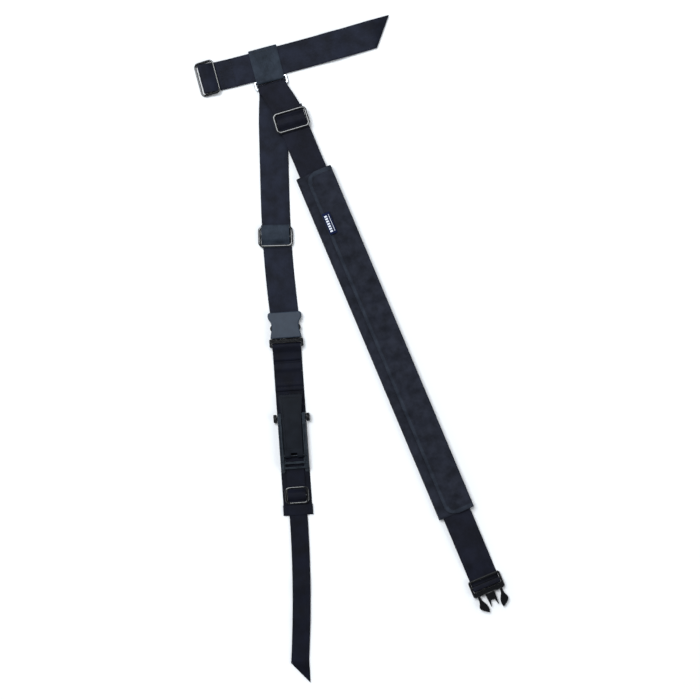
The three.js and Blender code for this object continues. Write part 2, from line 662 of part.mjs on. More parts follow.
function lever(group) {
  const shape = new THREE.Shape();
  const wide = LEVER_WIDE / 2;
  const narrow = LEVER_NARROW / 2;
  const foot = -LEVER_AXLE + BARREL_R;
  shape.moveTo(-narrow, foot - 3);
  shape.lineTo(narrow, foot - 3);
  shape.lineTo(narrow + 0.6, -FRAME_TOP - 14);
  shape.lineTo(wide - 2.2, -FRAME_TOP + GAP + 2);
  shape.lineTo(wide, -LEVER_TOP - 2);
  shape.lineTo(wide - 2, -LEVER_TOP);
  shape.lineTo(-wide + 2, -LEVER_TOP);
  shape.lineTo(-wide, -LEVER_TOP - 2);
  shape.lineTo(-wide + 2.2, -FRAME_TOP + GAP + 2);
  shape.lineTo(-narrow - 0.6, -FRAME_TOP - 14);
  const body = plate(shape, LEVER_Z, LEVER_Z + LEVER_T + 1.4, 0.3);
  const hollow = new THREE.Shape();
  const rim = 3;
  hollow.moveTo(-narrow + rim, foot + 6);
  hollow.lineTo(narrow - rim, foot + 6);
  hollow.lineTo(wide - rim - 1.4, -LEVER_TOP - 4);
  hollow.lineTo(-wide + rim + 1.4, -LEVER_TOP - 4);
  const dish = plate(hollow, LEVER_Z + LEVER_T, LEVER_Z + 9);
  const barrel = rod(BARREL_R, LEVER_NARROW, -LEVER_AXLE, AXLE_Z, 20);
  const bore = rod(AXLE_R + GAP, 99, -LEVER_AXLE, AXLE_Z, 16);
  const notch = block(-4.5, 4.5, -LEVER_AXLE - 9, -LEVER_AXLE + BARREL_R + 1, -9, 19);
  const trim = block(-99, 99, foot - 9, -LEVER_AXLE + 0.5, AXLE_Z + BARREL_R - 0.1, 99);
  add(group, 'release_lever', build(body, [barrel], [dish, bore, notch, trim]), 'buckle');
}

// A few turns of wire round the axle, in the lever's notch.
function spring(y, z) {
  const turns = 3;
  const points = [];
  for (let i = 0; i <= turns * 10; i += 1) {
    const a = (i / 10) * 2 * Math.PI;
    const r = AXLE_R + GAP + 0.5;
    points.push(new THREE.Vector3(-3 + (6 * i) / (turns * 10), y + r * Math.cos(a), z + r * Math.sin(a)));
  }
  const wire = new THREE.Shape().absarc(0, 0, 0.4, 0, 2 * Math.PI);
  return new THREE.ExtrudeGeometry(wire, {
    steps: turns * 10,
    extrudePath: new THREE.CatmullRomCurve3(points),
    curveSegments: 3,
  });
}

// ---- narrow tail and the band across the end ----
function tail(group) {
  const z = WEB_T + GAP + TAPE_T / 2;
  const bendFrom = LOWER_LENGTH + 3;
  const tip = TAIL_END - TAIL_CUT;
  const warp = (x, y) => {
    const past = Math.max(-y - bendFrom, 0);
    const cut = y < -tip ? (TAIL_CUT * (x / TAPE + 0.5) * (-tip - y)) / 4 : 0;
    return [x - past ** 2 / (2 * TAIL_BEND_R), y - cut];
  };
  const route = [
    [-TAIL_START, z],
    [-bendFrom, z],
    ...run([-bendFrom, z], [-tip, z], 20),
    [-tip - 4, z],
  ];
  add(group, 'tail_strap', webbing(route, TAPE, TAPE_T, warp), 'webbing');
  const reach = WEB / 2 + 0.7;
  const low = WEB_T + GAP;
  const raised = low + TAPE_T + GAP;
  const foot = TAPE / 2 + 1 + WEB_T;
  const shape = new THREE.Shape([
    new THREE.Vector2(-reach, low),
    new THREE.Vector2(-foot + WEB_T, low),
    new THREE.Vector2(-foot + WEB_T, raised),
    new THREE.Vector2(foot - WEB_T, raised),
    new THREE.Vector2(foot - WEB_T, low),
    new THREE.Vector2(reach, low),
    new THREE.Vector2(reach, low + WEB_T),
    new THREE.Vector2(foot + 1, low + WEB_T),
    new THREE.Vector2(foot - 1, raised + WEB_T),
    new THREE.Vector2(-foot + 1, raised + WEB_T),
    new THREE.Vector2(-foot - 1, low + WEB_T),
    new THREE.Vector2(-reach, low + WEB_T),
  ]);
  const depth = LOWER_LENGTH - BAND_START;
  const band = new THREE.ExtrudeGeometry(shape, { depth, bevelEnabled: false });
  add(group, 'end_band', band.rotateX(Math.PI / 2).translate(0, -BAND_START, 0), 'webbing');
}

const harness = new THREE.Group();
belt(harness);
keeperAndRing(harness);
shoulder(harness);
lowerStrap(harness, sideStrap(harness));

harness.updateMatrixWorld(true);
const bounds = new THREE.Box3().setFromObject(harness, true);
const middle = bounds.getCenter(new THREE.Vector3());
harness.position.set(-middle.x, -middle.y, -bounds.min.z);

export default harness;
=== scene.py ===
# %% [markdown]
# # A webbing carrying harness, lying flat
# The real object is two long straps hung from one steel ring on a waist belt. Everything soft is
# woven polyester webbing or a padded wrap, and everything hard is moulded plastic or plated steel.
# The CAD model gives every place and size, so this script only loads it and works on the looks.

# %% Load the frame
import json
import math

import bmesh
import bpy
import numpy as np
from mathutils import Matrix, Vector, noise


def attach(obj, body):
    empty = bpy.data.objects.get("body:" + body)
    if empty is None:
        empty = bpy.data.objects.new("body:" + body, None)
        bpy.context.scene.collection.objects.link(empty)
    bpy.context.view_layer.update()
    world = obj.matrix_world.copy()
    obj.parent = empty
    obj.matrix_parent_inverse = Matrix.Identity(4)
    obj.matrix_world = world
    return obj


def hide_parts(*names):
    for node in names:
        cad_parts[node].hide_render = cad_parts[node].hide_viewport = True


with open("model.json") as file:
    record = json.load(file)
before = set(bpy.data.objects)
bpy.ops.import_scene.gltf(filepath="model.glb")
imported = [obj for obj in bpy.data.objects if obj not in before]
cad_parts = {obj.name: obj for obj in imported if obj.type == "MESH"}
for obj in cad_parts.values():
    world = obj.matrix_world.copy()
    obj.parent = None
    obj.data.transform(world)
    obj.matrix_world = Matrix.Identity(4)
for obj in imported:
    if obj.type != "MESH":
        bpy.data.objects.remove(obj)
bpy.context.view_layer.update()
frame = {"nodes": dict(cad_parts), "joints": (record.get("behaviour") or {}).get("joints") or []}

MM = 0.001
nodes = frame["nodes"]
joints = {joint["name"]: joint for joint in frame["joints"]}

# %% [markdown]
# ## Camera, floor and light
# The harness is seen from straight above, laid flat on the floor. A long lens keeps the straps free
# of perspective. The floor is a pale sheet, a large soft lamp stands nearly overhead at the upper
# left, and a dim sky, darker overhead, fills the shadows.

# %% Camera
SEEN_WIDTH = 0.9723
CAMERA_CENTRE = (-0.0015, -0.0018)
LENS, SENSOR = 85, 36
scene = bpy.context.scene
camera = bpy.data.objects.new("camera", bpy.data.cameras.new("camera"))
camera.data.lens, camera.data.sensor_width = LENS, SENSOR
camera.location = (*CAMERA_CENTRE, SEEN_WIDTH / 2 * LENS / (SENSOR / 2))
camera.data.clip_end = 20
scene.collection.objects.link(camera)
scene.camera = camera
print("camera height", round(camera.location.z, 3), "m")

# %% Lights
scene.view_settings.view_transform = "Standard"
sky = bpy.data.worlds.new("studio")
scene.world = sky
sky.use_nodes = True
glow = sky.node_tree.nodes["Background"]
glow.inputs["Color"].default_value = (0.9, 0.95, 1, 1)
HORIZON_GLOW, OVERHEAD_GLOW = 0.62, 0.1
direction = sky.node_tree.nodes.new("ShaderNodeTexCoord")
height = sky.node_tree.nodes.new("ShaderNodeSeparateXYZ")
fade = sky.node_tree.nodes.new("ShaderNodeMapRange")
fade.inputs["From Min"].default_value, fade.inputs["From Max"].default_value = 0.3, 0.95
fade.inputs["To Min"].default_value, fade.inputs["To Max"].default_value = HORIZON_GLOW, OVERHEAD_GLOW
sky.node_tree.links.new(direction.outputs["Generated"], height.inputs[0])
sky.node_tree.links.new(height.outputs["Z"], fade.inputs["Value"])
sky.node_tree.links.new(fade.outputs[0], glow.inputs["Strength"])


def lamp(name, place, size, power):
    light = bpy.data.lights.new(name, "AREA")
    light.shape, light.size, light.energy = "DISK", size, power
    light.color = (0.93, 0.97, 1)
    holder = bpy.data.objects.new(name, light)
    holder.location = place
    holder.rotation_euler = (-Vector(place)).to_track_quat("-Z", "Y").to_euler()
    scene.collection.objects.link(holder)


lamp("key_softbox", (-1.3, 1.6, 4.7), 2.8, 230)
lamp("fill_softbox", (3.4, -1.4, 3.8), 3.0, 55)
print("two soft lamps")

# %% [markdown]
# ## Colour and material helpers
# Colours are picked as sRGB hex values, the way a paint chart gives them, and one function turns
# them to the linear numbers that the shader needs. One more function adds a node with its settings
# and its links, so that each material reads as a short recipe.


# %% Helpers
def linear(colour):
    channels = [int(colour[i : i + 2], 16) / 255 for i in (1, 3, 5)]
    return (*[c / 12.92 if c <= 0.04045 else ((c + 0.055) / 1.055) ** 2.4 for c in channels], 1)


def node(material, kind, links=None, **settings):
    made = material.node_tree.nodes.new(kind)
    for key, value in settings.items():
        if hasattr(made, key):
            setattr(made, key, value)
        else:
            made.inputs[key.replace("_", " ")].default_value = value
    for key, source in (links or {}).items():
        material.node_tree.links.new(source, made.inputs[key])
    return made


def material(name, roughness, metallic=0, ior=1.5, **settings):
    made = bpy.data.materials.new(name)
    made.use_nodes = True
    shader = made.node_tree.nodes["Principled BSDF"]
    shader.inputs["Roughness"].default_value = roughness
    shader.inputs["Metallic"].default_value = metallic
    if not metallic:
        shader.inputs["IOR"].default_value = ior
    for key, value in settings.items():
        shader.inputs[key.replace("_", " ")].default_value = value
    return made, shader


def join(made, source, socket):
    made.node_tree.links.new(source, socket)


def blend_of(made, factor, first, second):
    mix = node(made, "ShaderNodeMix", data_type="RGBA")
    mix.inputs[6].default_value, mix.inputs[7].default_value = linear(first), linear(second)
    join(made, factor, mix.inputs[0])
    return mix.outputs[2]


# %% [markdown]
# ## Woven polyester webbing
# Webbing is woven from thick filament yarn, so it shows small staggered blocks: short floats of
# warp between the weft rows. A brick pattern laid along each strap gives these floats. The real
# blocks are about 1 mm, and these are drawn a little coarser so that they show. Black polyester
# is never pure black: the filaments scatter light at grazing angles, which is the sheen.


# %% Webbing
FLOAT_LENGTH, FLOAT_WIDTH = 2.6, 1.3


def webbing_material(name, dark, light):
    made, shader = material(
        name, 0.62, ior=1.54, Specular_IOR_Level=0.1, Sheen_Weight=0.03, Sheen_Roughness=0.45
    )
    place = node(made, "ShaderNodeTexCoord")
    millimetres = node(made, "ShaderNodeMapping", {"Vector": place.outputs["UV"]}, Scale=(1000, 1000, 1))
    floats = node(
        made, "ShaderNodeTexBrick", {"Vector": millimetres.outputs[0]}, Scale=1, Mortar_Size=0.16,
        Mortar_Smooth=1, Brick_Width=FLOAT_LENGTH, Row_Height=FLOAT_WIDTH,
        Color1=(0.25, 0.25, 0.25, 1), Color2=(0.75, 0.75, 0.75, 1), Mortar=(0, 0, 0, 1),
    )
    handling = node(made, "ShaderNodeTexNoise", {"Vector": place.outputs["Object"]}, Scale=55, Detail=5)
    patches = node(
        made, "ShaderNodeMapRange", {"Value": handling.outputs[0]}, From_Min=0.35, From_Max=0.65, To_Max=0.65
    )
    tone = node(made, "ShaderNodeMath", operation="MULTIPLY_ADD")
    join(made, floats.outputs["Color"], tone.inputs[0])
    tone.inputs[1].default_value = 0.45
    join(made, patches.outputs[0], tone.inputs[2])
    join(made, blend_of(made, tone.outputs[0], dark, light), shader.inputs["Base Color"])
    bump = node(made, "ShaderNodeBump", {"Height": floats.outputs["Fac"]}, Strength=0.55, Distance=0.00018)
    bump.invert = True
    join(made, bump.outputs[0], shader.inputs["Normal"])
    return made


side_webbing = webbing_material("woven_polyester_webbing", "#10121a", "#212534")
shoulder_webbing = webbing_material("woven_polyester_webbing_heavy", "#0b0c14", "#191b29")
keeper_webbing = webbing_material("woven_polyester_webbing_sunned", "#171d25", "#323a46")
tape_webbing = webbing_material("woven_polyester_tape", "#06070e", "#101322")
print("webbing floats", FLOAT_LENGTH, "x", FLOAT_WIDTH, "mm")

# %% [markdown]
# ## Oxford cloth, thread and label
# The sleeve is covered with a coarse plain-weave polyester oxford. Its pattern can't lean on an
# unwrapped surface, because the padded pieces are remeshed, so two sets of waves at right angles
# follow the sleeve's own direction.

# %% Sleeve cloth
sleeve_along = Vector(joints["sleeve_travel"]["axis"])
SLEEVE_TURN = math.atan2(-sleeve_along.x, sleeve_along.y)
THREAD_PITCH = 1.6


def cloth_material(name, dark, light, depth=0.00016, pitch=THREAD_PITCH):
    made, shader = material(
        name, 0.72, ior=1.54, Specular_IOR_Level=0.1, Sheen_Weight=0.04, Sheen_Roughness=0.5
    )
    place = node(made, "ShaderNodeTexCoord")
    along = node(
        made, "ShaderNodeMapping", {"Vector": place.outputs["Object"]},
        Scale=(1000 / pitch, 1000 / pitch, 1000 / pitch),
    )
    turned_back = node(
        made, "ShaderNodeVectorRotate", {"Vector": place.outputs["Object"]}, rotation_type="Z_AXIS"
    )
    turned_back.inputs["Angle"].default_value = -SLEEVE_TURN
    join(made, turned_back.outputs[0], along.inputs["Vector"])
    waves = []
    for direction in ("X", "Y"):
        waves.append(
            node(made, "ShaderNodeTexWave", {"Vector": along.outputs[0]}, bands_direction=direction,
                 Scale=0.3183, Distortion=0.6, Detail=1)
        )
    woven = node(made, "ShaderNodeMath", operation="MULTIPLY")
    join(made, waves[0].outputs["Fac"], woven.inputs[0])
    join(made, waves[1].outputs["Fac"], woven.inputs[1])
    handling = node(
        made, "ShaderNodeTexNoise", {"Vector": place.outputs["Object"]}, Scale=60, Detail=6, Roughness=0.65
    )
    patches = node(
        made, "ShaderNodeMapRange", {"Value": handling.outputs[0]}, From_Min=0.35, From_Max=0.65, To_Max=0.7
    )
    tone = node(made, "ShaderNodeMath", operation="MULTIPLY_ADD")
    join(made, woven.outputs[0], tone.inputs[0])
    tone.inputs[1].default_value = 0.5
    join(made, patches.outputs[0], tone.inputs[2])
    join(made, blend_of(made, tone.outputs[0], dark, light), shader.inputs["Base Color"])
    bump = node(made, "ShaderNodeBump", {"Height": woven.outputs[0]}, Strength=0.6, Distance=depth)
    join(made, bump.outputs[0], shader.inputs["Normal"])
    return made


sleeve_cloth = cloth_material("polyester_oxford_cloth", "#101219", "#282b37")
binding_cloth = cloth_material("grosgrain_binding", "#181c25", "#303641", pitch=1.2)
fleece_tape = cloth_material("brushed_loop_tape", "#101114", "#2a2b30", depth=0.0004, pitch=2.2)
label_cloth = cloth_material("woven_damask_label", "#060c22", "#12204a", depth=0.00006, pitch=0.9)
thread, _ = material(
    "bonded_polyester_thread", 0.5, ior=1.54, Base_Color=linear("#0e1015"), Specular_IOR_Level=0.2
)
label_thread, _ = material("pale_embroidery_thread", 0.5, ior=1.54, Base_Color=linear("#dfe4ee"))
print("sleeve turned by", round(math.degrees(SLEEVE_TURN), 1), "degrees")

# %% [markdown]
# ## Moulded plastic and plated steel
# Strap slides and buckle plugs are moulded acetal with a polished tool, so they are glossy and show
# bright lines along their bars. The buckle socket is glass-filled nylon, whose skin is duller and has a fine
# grain.
# The ring and the quick release are zinc-plated steel, the pull lever is painted steel, and the
# knobs are rubber.


# %% Hardware materials
def grained(name, colour, worn, roughness, grain_mm, depth, metallic=0, **settings):
    made, shader = material(name, roughness, metallic, **settings)
    place = node(made, "ShaderNodeTexCoord")
    grain = node(
        made, "ShaderNodeTexNoise", {"Vector": place.outputs["Object"]}, Scale=1000 / grain_mm, Detail=3
    )
    handling = node(made, "ShaderNodeTexNoise", {"Vector": place.outputs["Object"]}, Scale=90, Detail=4)
    join(made, blend_of(made, handling.outputs[0], colour, worn), shader.inputs["Base Color"])
    spread = node(
        made, "ShaderNodeMapRange", {"Value": handling.outputs[0]},
        To_Min=roughness * 0.75, To_Max=roughness * 1.3,
    )
    join(made, spread.outputs[0], shader.inputs["Roughness"])
    bump = node(made, "ShaderNodeBump", {"Height": grain.outputs[0]}, Strength=0.4, Distance=depth)
    join(made, bump.outputs[0], shader.inputs["Normal"])
    return made


acetal = grained(
    "polished_acetal", "#050608", "#0b0c10", 0.14, 4, 0.000004,
    ior=1.48, Specular_IOR_Level=0.6, Coat_Weight=0.5, Coat_Roughness=0.08,
)
nylon = grained(
    "moulded_glass_filled_nylon", "#222935", "#36414f", 0.4, 0.9, 0.00003, ior=1.53, Specular_IOR_Level=0.22
)
zinc_wire = grained("zinc_plated_wire", "#8b9096", "#b9bdc2", 0.24, 2, 0.00001, metallic=1)
zinc_sheet = grained("zinc_plated_sheet", "#22272d", "#3c4249", 0.3, 1.4, 0.00002, metallic=1)
dark_spring = grained("oiled_spring_steel", "#1b1d20", "#2a2d31", 0.4, 1.2, 0.00002, metallic=1)
pin_steel = grained("ground_steel_pin", "#26292e", "#3a3e44", 0.35, 1.2, 0.00001, metallic=1)
painted_steel = grained(
    "powder_painted_steel", "#06090f", "#0e1520", 0.32, 1.1, 0.00003, ior=1.5, Specular_IOR_Level=0.14
)
rubber = grained("moulded_rubber", "#08080a", "#121215", 0.5, 1.2, 0.00003, ior=1.52, Specular_IOR_Level=0.2)
print(len(bpy.data.materials), "materials")

# %% [markdown]
# ## Where each strap lies
# Every strap has its own flat frame: Y runs up the strap, X across it and Z is the height. The
# joints of the CAD model already hold these points and directions, so the frames come from them.


# %% Strap frames
def frame_at(joint, up):
    up = Vector(up).normalized()
    across = up.cross(Vector((0, 0, 1)))
    place = Matrix.Identity(4)
    for row in range(3):
        place[row][0], place[row][1] = across[row], up[row]
    point = joints[joint]["pos_m"]
    place.translation = (point[0], point[1], 0)
    return place


def sideways(joint):
    axis = -Vector(joints[joint]["axis"])
    return Vector((0, 0, 1)).cross(axis)


RING_UP = 21.8
along_belt = Vector(joints["keeper_travel"]["axis"])
across_belt = Vector(joints["belt_slide_tilt"]["axis"])
keeper_frame = frame_at("ring_tilt", across_belt) @ Matrix.Translation((0, RING_UP * MM, 0))
belt_frame = frame_at("ring_tilt", -along_belt)
belt_frame.translation = keeper_frame.translation
shoulder_frame = frame_at("shoulder_lift", joints["right_slide_travel"]["axis"])
side_frame = frame_at("shoulder_lift", joints["left_slide_travel"]["axis"])
socket_frame = frame_at("closed_buckle_pivot", sideways("closed_buckle_pivot"))
lower_frame = frame_at("lower_strap_pivot", sideways("lower_strap_pivot"))
print("belt middle at", [round(c, 4) for c in belt_frame.translation])

# %% [markdown]
# ## The webbing builder
# A strap is a flat woven band with full, rounded selvedges. It could be a plane with a thickness,
# but its edges would be sharp. Here one rounded cross-section is swept along a route of (along,
# height) points, which is how webbing really behaves: it bends over a bar but never stretches.


# %% Routes
def arc(y, z, radius, start, end, steps=14):
    turns = [math.radians(start + (end - start) * i / steps) for i in range(steps + 1)]
    return [(y + radius * math.cos(a), z + radius * math.sin(a)) for a in turns]


def run(start, end, step=4):
    """Even steps with eased heights, without the first point."""
    count = max(2, math.ceil(abs(end[0] - start[0]) / step))
    points = []
    for i in range(1, count + 1):
        f = i / count
        eased = f * f * (3 - 2 * f)
        points.append((start[0] + (end[0] - start[0]) * f, start[1] + (end[1] - start[1]) * eased))
    return points


def through(points, step=2):
    route = [points[0]]
    for before, after in zip(points, points[1:]):
        route += run(before, after, step)
    return route


def section(width, thick, columns):
    """A flat band with round selvedges, a little thicker in the middle, as (across, up)."""
    half, r = width / 2, thick / 2
    top = []
    for i in range(columns + 1):
        x = -half + r + (width - thick) * i / columns
        top.append((x, r * (0.9 + 0.1 * math.sin(math.pi * i / columns))))
    turn = [(half - r + r * math.sin(a), r * 0.9 * math.cos(a)) for a in (0.6, 1.15, 1.571, 2.0, 2.55)]
    bottom = [(x, -up) for x, up in reversed(top)]
    back = [(-x, -up) for x, up in turn]
    return top + turn + bottom + back


def strap(name, place, route, width, thick, cloth, warp=None, closed=False, columns=12):
    mesh = bmesh.new()
    layer = mesh.loops.layers.uv.new("UVMap")
    around = section(width, thick, columns)
    rows, length = [], 0
    count = len(route)
    for i, (y, z) in enumerate(route):
        before = route[(i - 1) % count] if closed or i else route[0]
        after = route[(i + 1) % count] if closed or i < count - 1 else route[-1]
        dy, dz = after[0] - before[0], after[1] - before[1]
        size = math.hypot(dy, dz)
        if i:
            length += math.hypot(y - route[i - 1][0], z - route[i - 1][1])
        row = []
        for x, up in around:
            px, py, pz = x, y - up * dz / size, z + up * dy / size
            if warp:
                px, py, pz = warp(px, py, pz)
            row.append(mesh.verts.new(place @ (Vector((px, py, pz)) * MM)))
        rows.append((row, length))
    ring = len(around)
    spans = list(zip(rows, rows[1:]))
    if closed:
        gap = math.hypot(route[0][0] - route[-1][0], route[0][1] - route[-1][1])
        spans.append((rows[-1], (rows[0][0], length + gap)))
    for (low, at_low), (high, at_high) in spans:
        for i in range(ring):
            j = (i + 1) % ring
            face = mesh.faces.new((low[i], low[j], high[j], high[i]))
            face.smooth = True
            across = (around[i][0], around[j][0], around[j][0], around[i][0])
            along = (at_low, at_low, at_high, at_high)
            for loop, u, v in zip(face.loops, along, across):
                loop[layer].uv = (u * MM, v * MM)
    if not closed:
        for row, _ in (rows[0], rows[-1]):
            mesh.faces.new(row)
    bmesh.ops.recalc_face_normals(mesh, faces=mesh.faces)
    data = bpy.data.meshes.new(name)
    mesh.to_mesh(data)
    mesh.free()
    piece = bpy.data.objects.new(name, data)
    scene.collection.objects.link(piece)
    data.materials.append(cloth)
    piece["length_mm"] = length
    return piece


def woven(piece, body, replaced, slot, width, rests_on, held="laid", with_pieces=(), length=None):
    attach(piece, body)
    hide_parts(*replaced)
    return piece


# %% [markdown]
# ## Stitches
# Every fold is closed with a row of lockstitch. Each stitch is a short raised piece of thread, so
# it is real geometry: a small six-sided spindle laid every few millimetres along a line.

# %% Stitch builder
STITCH, STITCH_GAP, STITCH_R = 3.0, 1.0, 0.32


def stitches(name, place, lines, body, colour=None, warp=None):
    mesh = bmesh.new()
    for (x0, y0), (x1, y1), z in lines:
        start, end = Vector((x0, y0, z)), Vector((x1, y1, z))
        count = max(1, int((end - start).length / (STITCH + STITCH_GAP)))
        along = (end - start).normalized()
        across = along.cross(Vector((0, 0, 1)))
        step = (end - start) / count
        for i in range(count):
            middle = start + step * (i + 0.5)
            rings = []
            for part, size in ((-0.5, 0.25), (-0.3, 0.9), (0.0, 1.1), (0.3, 0.9), (0.5, 0.25)):
                ring = []
                for k in range(6):
                    a = k * math.pi / 3
                    point = middle + along * (part * STITCH) + size * STITCH_R * (
                        across * math.cos(a) + Vector((0, 0, 1)) * math.sin(a)
                    )
                    if warp:
                        point = Vector(warp(*point))
                    ring.append(mesh.verts.new(place @ (point * MM)))
                rings.append(ring)
            for low, high in zip(rings, rings[1:]):
                for k in range(6):
                    mesh.faces.new((low[k], low[(k + 1) % 6], high[(k + 1) % 6], high[k])).smooth = True
            mesh.faces.new(rings[0][::-1])
            mesh.faces.new(rings[-1])
    bmesh.ops.recalc_face_normals(mesh, faces=mesh.faces)
    data = bpy.data.meshes.new(name)
    mesh.to_mesh(data)
    mesh.free()
    piece = bpy.data.objects.new(name, data)
    scene.collection.objects.link(piece)
    data.materials.append(colour or thread)
    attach(piece, body)
    return piece


# %% [markdown]
# ## Waist belt
# A 40 mm band that folds round the middle bar of its slide and is sewn to itself behind. It curves
# up a little at both ends, because webbing that has been rolled up never lies quite straight, and
# it lifts off the table in soft waves. Its
# free end is cut at a slant and heat-sealed.

# %% Belt
WEB, WEB_T = 40, 1.5
GAP = 0.3
WIRE_R = 1.5
FLOOR_Z = WEB_T / 2
BELT_Z = WEB_T + GAP + WEB_T / 2
RING_Z = WEB_T + GAP + WIRE_R
HOOK_R = WIRE_R + GAP + WEB_T / 2
BELT_LEFT, BELT_RIGHT, BELT_CUT, BELT_FOLD = 84, 178, 28, 38
tip = BELT_RIGHT - BELT_CUT


def ripple(y, zones):
    """Soft waves where a strap lies free, in zones of (start, end, height)."""
    for start, stop, height in zones:
        t = (y - start) / (stop - start)
        if 0 < t < 1:
            return height * math.sin(math.pi * t) ** 2 * (0.6 + 0.4 * math.sin(0.13 * y + 1.1))
    return 0


def belt_bend(y):
    return max(y - 30, 0) ** 2 / 2000 + max(-y - 60, 0) ** 2 / 5200


def belt_warp(x, y, z):
    slant = BELT_CUT * (x / WEB + 0.5) * min((-tip - y) / 4, 1) if y < -tip else 0
    return x + belt_bend(y), y - slant, z + ripple(y, [(-48, -tip, 2.2)])


bar_z = RING_Z + 1.3
route = [(BELT_LEFT - BELT_FOLD, FLOOR_Z)]
route += run(route[0], (BELT_LEFT - 6, FLOOR_Z + 0.2))
BELT_SLACK = 5.8  # the sewn fold is looser than the bar in it
route += run(route[-1], (BELT_LEFT + BELT_SLACK, bar_z - HOOK_R), 2)
route += arc(BELT_LEFT + BELT_SLACK, bar_z + 0.6, HOOK_R + 0.6, -90, 90)
route += run(route[-1], (BELT_LEFT, bar_z + HOOK_R + 0.4), 2)
route += run(route[-1], (BELT_LEFT - 14, BELT_Z), 2)
route += run((BELT_LEFT - 14, BELT_Z), (-tip, BELT_Z))
route.append((-tip - 4, BELT_Z))
belt = strap("belt_band", belt_frame, route, WEB, WEB_T, side_webbing, belt_warp)
top = BELT_Z + WEB_T / 2
rows = [((-18, y), (18, y), top) for y in (BELT_LEFT - 20, BELT_LEFT - 36)]
belt_seams = stitches("belt_stitching", belt_frame, rows, "belt", warp=belt_warp)
woven(belt, "belt", ["belt_webbing"], "webbing", WEB, ["keeper_loop"], with_pieces=[belt_seams])

# %% [markdown]
# ## Keeper
# A loop of webbing that slides along the belt and holds the ring. It goes round the belt, down to
# the ring's upper bar and back, with its layers sewn together just above the ring.

# %% Keeper
KEEPER_SLACK = 1.1  # the sewn fold hangs a little loose round the bar
front = BELT_Z + WEB_T + GAP
middle = (front + FLOOR_Z) / 2
route = arc(WEB / 2 + 0.5, middle, middle - FLOOR_Z, -90, 90, 8)
route += run(route[-1], (-RING_UP + 9, front), 3)
route += arc(-RING_UP - KEEPER_SLACK, RING_Z, HOOK_R, 90, 270, 10)
route += run(route[-1], (WEB / 2 - 2, FLOOR_Z), 3)
keeper = strap("keeper_band", keeper_frame, route, WEB, WEB_T, keeper_webbing, closed=True)
edge = front + WEB_T / 2
rows = [((-18, y), (18, y), edge) for y in (-WEB / 2 + 3, WEB / 2 - 2)]
keeper_seams = stitches("keeper_stitching", keeper_frame, rows, "keeper")
woven(keeper, "keeper", ["keeper_loop"], "keeper_webbing", WEB, [belt], "folded", [keeper_seams])


# %% [markdown]
# ## Shoulder strap
# It hooks over the ring's lower bar, bends sideways out of it, rises through its slide, runs
# through the sleeve and ends round the bar of the open plug.

# %% Shoulder strap
OVER_R = HOOK_R + WEB_T + GAP
SHOULDER_Z = RING_Z + OVER_R
SHOULDER_SHIFT, SHOULDER_BEND = 6.1, 52
SHOULDER_LENGTH = 750
LOOP_R = 1.8 + GAP + WEB_T / 2
FOLD_SLACK = 2.8
PLUG_Z = LOOP_R + WEB_T / 2 + 1.2


def fade(along, length):
    return max(0, 1 - abs(along) / length)


def turned(x, y, angle, length):
    """The end loop turns with the ring's bar, and the turn fades out along the strap."""
    a = math.radians(angle) * fade(max(-y - 6, 0), length)
    return x * math.cos(a) - max(min(y, 6), -6) * math.sin(a), y + x * math.sin(a)


def angle_of(place):
    return math.degrees(math.atan2(place[1][0], place[0][0]))


ring_turn = angle_of(keeper_frame) - angle_of(shoulder_frame)


def shoulder_warp(x, y, z):
    across, along = turned(x, y, ring_turn, 36)
    bend = SHOULDER_SHIFT * (1 - fade(min(y, 0), SHOULDER_BEND) ** 2)
    return across + bend, along, z + ripple(y, [(-688, -738, 2.0)])


end = -SHOULDER_LENGTH
route = arc(0, RING_Z, OVER_R, -25, 90, 10)
route += run((0, SHOULDER_Z), (end + 66, SHOULDER_Z))
route += run((end + 66, SHOULDER_Z), (end + 10, PLUG_Z - LOOP_R - 0.4), 3)
route += run(route[-1], (end - FOLD_SLACK, PLUG_Z - LOOP_R), 3)
route += arc(end - FOLD_SLACK, PLUG_Z, LOOP_R, 270, 90)
route += run(route[-1], (end + 1, PLUG_Z + LOOP_R + 0.2), 2)
shoulder = strap("shoulder_band", shoulder_frame, route, WEB, WEB_T, shoulder_webbing, shoulder_warp)
woven(shoulder, "shoulder", ["right_strap"], "webbing", WEB, ["right_plug", "strap_ring"])

# %% [markdown]
# ## Second strap
# It goes under the ring's lower bar, folds over and is sewn, then lies flat down to its slide and
# the socket of the closed buckle.

# %% Second strap
SIDE_LENGTH, SIDE_STRAIGHT, SIDE_SHIFT = 319, 150, 8.9
side_turn = angle_of(keeper_frame) - angle_of(side_frame)
end_turn = math.tan(math.radians(angle_of(socket_frame) - angle_of(side_frame)))
SOCKET_BAR_Z = LOOP_R + WEB_T / 2


def side_bend(y):
    return SIDE_SHIFT * (max(-y - SIDE_STRAIGHT, 0) / (SIDE_LENGTH - SIDE_STRAIGHT)) ** 2


def side_warp(x, y, z):
    across, along = turned(x, y, side_turn, 44)
    free = [(-62, -158, 1.5), (-254, -302, 1.0)]
    return across + side_bend(y), along + end_turn * x * fade(y + SIDE_LENGTH, 30), z + ripple(y, free)


route = run((-12, RING_Z + HOOK_R), (0, RING_Z + HOOK_R), 3)
route += arc(0, RING_Z, HOOK_R, 90, -90)[1:]
route += run((0, FLOOR_Z), (-SIDE_LENGTH + 9, FLOOR_Z))
route += arc(-SIDE_LENGTH, SOCKET_BAR_Z, LOOP_R, 270, 80)
side = strap("side_band", side_frame, route, WEB, WEB_T, side_webbing, side_warp)
woven(side, "ring", ["left_strap"], "webbing", WEB, ["strap_ring", "left_socket"])

